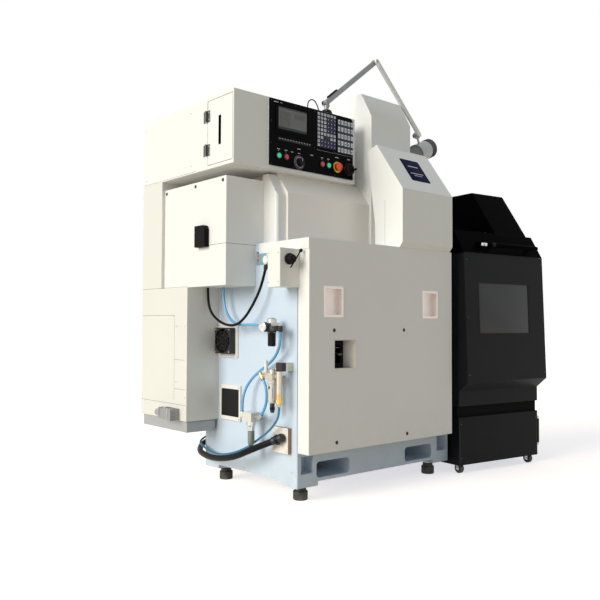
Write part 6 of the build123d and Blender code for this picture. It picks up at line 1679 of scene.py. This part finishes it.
@dataclass
class ChipUnit(Assembly):
    """The rolling chip unit, measured across, back and up from its own front left corner."""

    origin: Triple = (938.0, -133.0, 0.0)
    turn: float = 7.5
    width: float = 602.0
    depth: float = 690.0
    belly_low: Pair = (-62.0, 466.0)
    belly_top: Pair = (-37.0, 1114.0)
    window: tuple[float, float, float, float] = (98.0, 482.0, 706.0, 968.0)
    columns: Pair = (16.0, 586.0)
    casters: Pair = (38.0, 564.0)
    axle: Pair = (36.0, 25.0)
    bar: Triple = (200.0, 530.0, 1163.0)
    catch: Pair = (-37.2, 1164.0)
    grip_place: Pair = (636.0, 30.0)
    grip_ends: Pair = (92.0, 250.0)
    grip_radius: float = 9.0

    def build(self) -> None:
        """Dress the unit and add its window, catch, seals, screws, grip and axle nuts."""
        self.dress(UNIT_SHEET, 1.4, "unit_body")
        self.dress(BLACK_LID, 1.4, "unit_lid")
        for side, across in zip(("left", "right"), self.casters):
            self.dress(CHROME, 0.5, f"caster_fork_{side}")
            self.dress(replace(TYRE, name=f"caster_tyre_{side}"), 0.0, f"caster_wheel_{side}")
            self.piece(f"caster_axle_{side}", ZINC, hex_nut(7, 4, 0.5),
                       *[self._seat(across + 14 * way, *self.axle, (way, 0, 0)) for way in (1, -1)],
                       body=f"caster_fork_{side}")
        self.dress(RUBBER, 0.4, "rear_wheels")
        self._window()
        self._lid()
        self._body()

    def _local(self, across: float, back: float, up: float) -> np.ndarray:
        """Give the place of a point that is measured in the unit's own frame.

        Args:
            across: How far right it is.
            back: How far back it is.
            up: How high it is.

        Returns:
            The place on the machine.
        """
        angle = math.radians(self.turn)
        x_way = np.array((math.cos(angle), -math.sin(angle), 0.0))
        y_way = np.array((math.sin(angle), math.cos(angle), 0.0))
        return np.array(self.origin) + across * x_way + back * y_way + np.array((0, 0, up))

    def _seat(self, across: float, back: float, up: float, out: Triple) -> Seat:
        """Give a seat in the unit's frame, with its out direction in that frame too."""
        return Seat.towards(self._local(across, back, up), self._local(*out) - self.origin)

    def _belly(self, across: float, up: float, out: float = 0.0) -> Seat:
        """Give a seat on the leaning front of the belly.

        Args:
            across: How far right it is.
            up: How high it is.
            out: How far it stands in front of the face.

        Returns:
            The seat.
        """
        run = self.belly_top[0] - self.belly_low[0]
        rise = self.belly_top[1] - self.belly_low[1]
        back = self.belly_low[0] + run * (up - self.belly_low[1]) / rise
        return self._seat(across, back, up, (0, -rise, run)).moved(out=out)

    def _seam(self, width: float, rise: float, places: Path) -> Surface:
        """Lay a seam on a face that looks to the unit's front."""
        front = self._local(0, -1, 0) - self.origin
        return seam(width, rise, [self._local(*place) for place in places], front)

    def _window(self) -> None:
        """Make the smoked window in its recess and the rubber gasket round it."""
        left, right, low, high = self.window
        width, height, middle = right - left, high - low, ((left + right) / 2, (low + high) / 2)
        self.piece("window_pane", SMOKED, plate(width - 6, height - 6, 4, 2.4, 0.6),
                   self._belly(*middle, -5.6), body="unit_body")
        section = [(-3, -6), (-3, -1.4), (-1.6, 0.6), (2.2, 1.6), (3.4, 0.4), (3.4, -0.6), (-0.4, -0.6),
                   (-0.4, -6)]
        self.piece("window_gasket", RUBBER, border(width, height, 4, section), self._belly(*middle),
                   body="unit_body")

    def _lid(self) -> None:
        """Make the lid's plated catch, the bar handle's rounded ends and the hatch's screws."""
        front = (0, -1, 0)
        left, right = (self._seat(across, *self.catch, front) for across in (133, 157))
        plates = [plate(width, 15, 3, 4.5, 1.4, -0.3).seated(seat)
                  for width, seat in ((16, left), (20, right))]
        button = turned([(0, 4), (5, 4), (5, 6), (3.4, 7.4), (0, 7.6)], 24)
        self.piece("lid_catch", CHROME, joined([*plates, button.seated(right)]), body="unit_lid")
        start, end, up = self.bar
        angle = np.linspace(0, math.pi / 2, 6)
        dome = np.column_stack([11.4 * np.cos(angle), 3 + 5 * np.sin(angle)])
        self.piece("bar_ends", BLACK_PLASTIC, turned([(0, -2), (11.4, -2), *dome], 28),
                   *[self._seat(across, -55, up, (way, 0, 0)) for across, way in ((end, 1), (start, -1))],
                   body="unit_lid")
        seats = [self._seat(across, back, up, (way, 0, 0))
                 for across, up, way in ((352, 1256, -1), (self.width, 1262, 1)) for back in (140, 380, 640)]
        self.piece("hatch_screws", DARK_SCREW, socket_screw(4.0, 1.8), *seats, body="unit_lid")

    def _body(self) -> None:
        """Make the seal under the lid, the screws, the tank's joints and the grip's sleeve and clamps."""
        seal = self._seam(2.6, 1.0, [(across, -38.5, 1115.5) for across in (2, 200, 400, 600)])
        self.piece("lid_seal", RUBBER, seal, body="unit_body")
        seats = [self._belly(across, up) for across in self.columns for up in (500, 790, 1080)]
        seats += [self._seat(across, 0, up, (0, -1, 0)) for across in self.columns for up in (80, 250)]
        seats += [self._seat(self.width, back, up, (1, 0, 0))
                  for back in (60, 360, 660) for up in (400, 1180)]
        seats += [self._seat(across, self.depth, up, (0, 1, 0))
                  for across in (20, 300, 580) for up in (120, 600, 1120)]
        self.piece("unit_screws", DARK_SCREW, socket_screw(4.0, 1.8), *seats, body="unit_body")
        self.piece("tank_seam", SEAM_GAP, joined(
            self._seam(1.6, 0.4, [(across, 0, up) for up in (48, 170, 283)]) for across in (6, 596)),
                   body="unit_body")
        (low, high), radius = self.grip_ends, self.grip_radius
        reach, foot, head = radius + 2.6, low + 14, high - 14
        sleeve = [(reach - 3, foot), (reach, foot + 1), (reach, head - 1), (reach - 3, head)]
        self.piece("grip_sleeve", BLACK_PLASTIC, turned(sleeve, 28, ring=True),
                   Seat.on(Side.TOP, *self._local(*self.grip_place, 0)), body="unit_body")
        clamp = [(radius - 0.6, 0), (radius + 1.2, 0.6), (radius + 1.2, 11.4), (radius - 0.6, 12)]
        seats = [Seat.on(Side.TOP, *self._local(*self.grip_place, up)) for up in (low + 1, high - 13)]
        self.piece("grip_ends", ZINC, turned(clamp, 28, ring=True), *seats, body="unit_body")


@dataclass
class WorkingParts(Assembly):
    """The spindle and the slides inside the covers."""

    def build(self) -> None:
        """Dress the hidden working parts."""
        self.dress(IRON, 0.8, "spindle_housing", "inner_column", "saddle")
        self.dress(IRON, 0.6, "cross_slide")
        self.dress(STEEL, 0.5, "spindle", "turret")


def main() -> None:
    """Build the studio, the cords and each sub-assembly in turn."""
    logging.basicConfig(level=logging.INFO, format="%(name)s: %(message)s")
    shop = Workshop()
    Studio().build()
    for cord in CORDS:
        cord.build(shop)
    for assembly in (BedDressing, SheetCovers, ControlBox, OperatorPanel, EndFittings, AirUnits, WorkLamp,
                     ChipUnit, WorkingParts):
        assembly(shop).build()
    bpy.context.view_layer.update()
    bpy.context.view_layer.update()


if __name__ == "__main__":
    main()
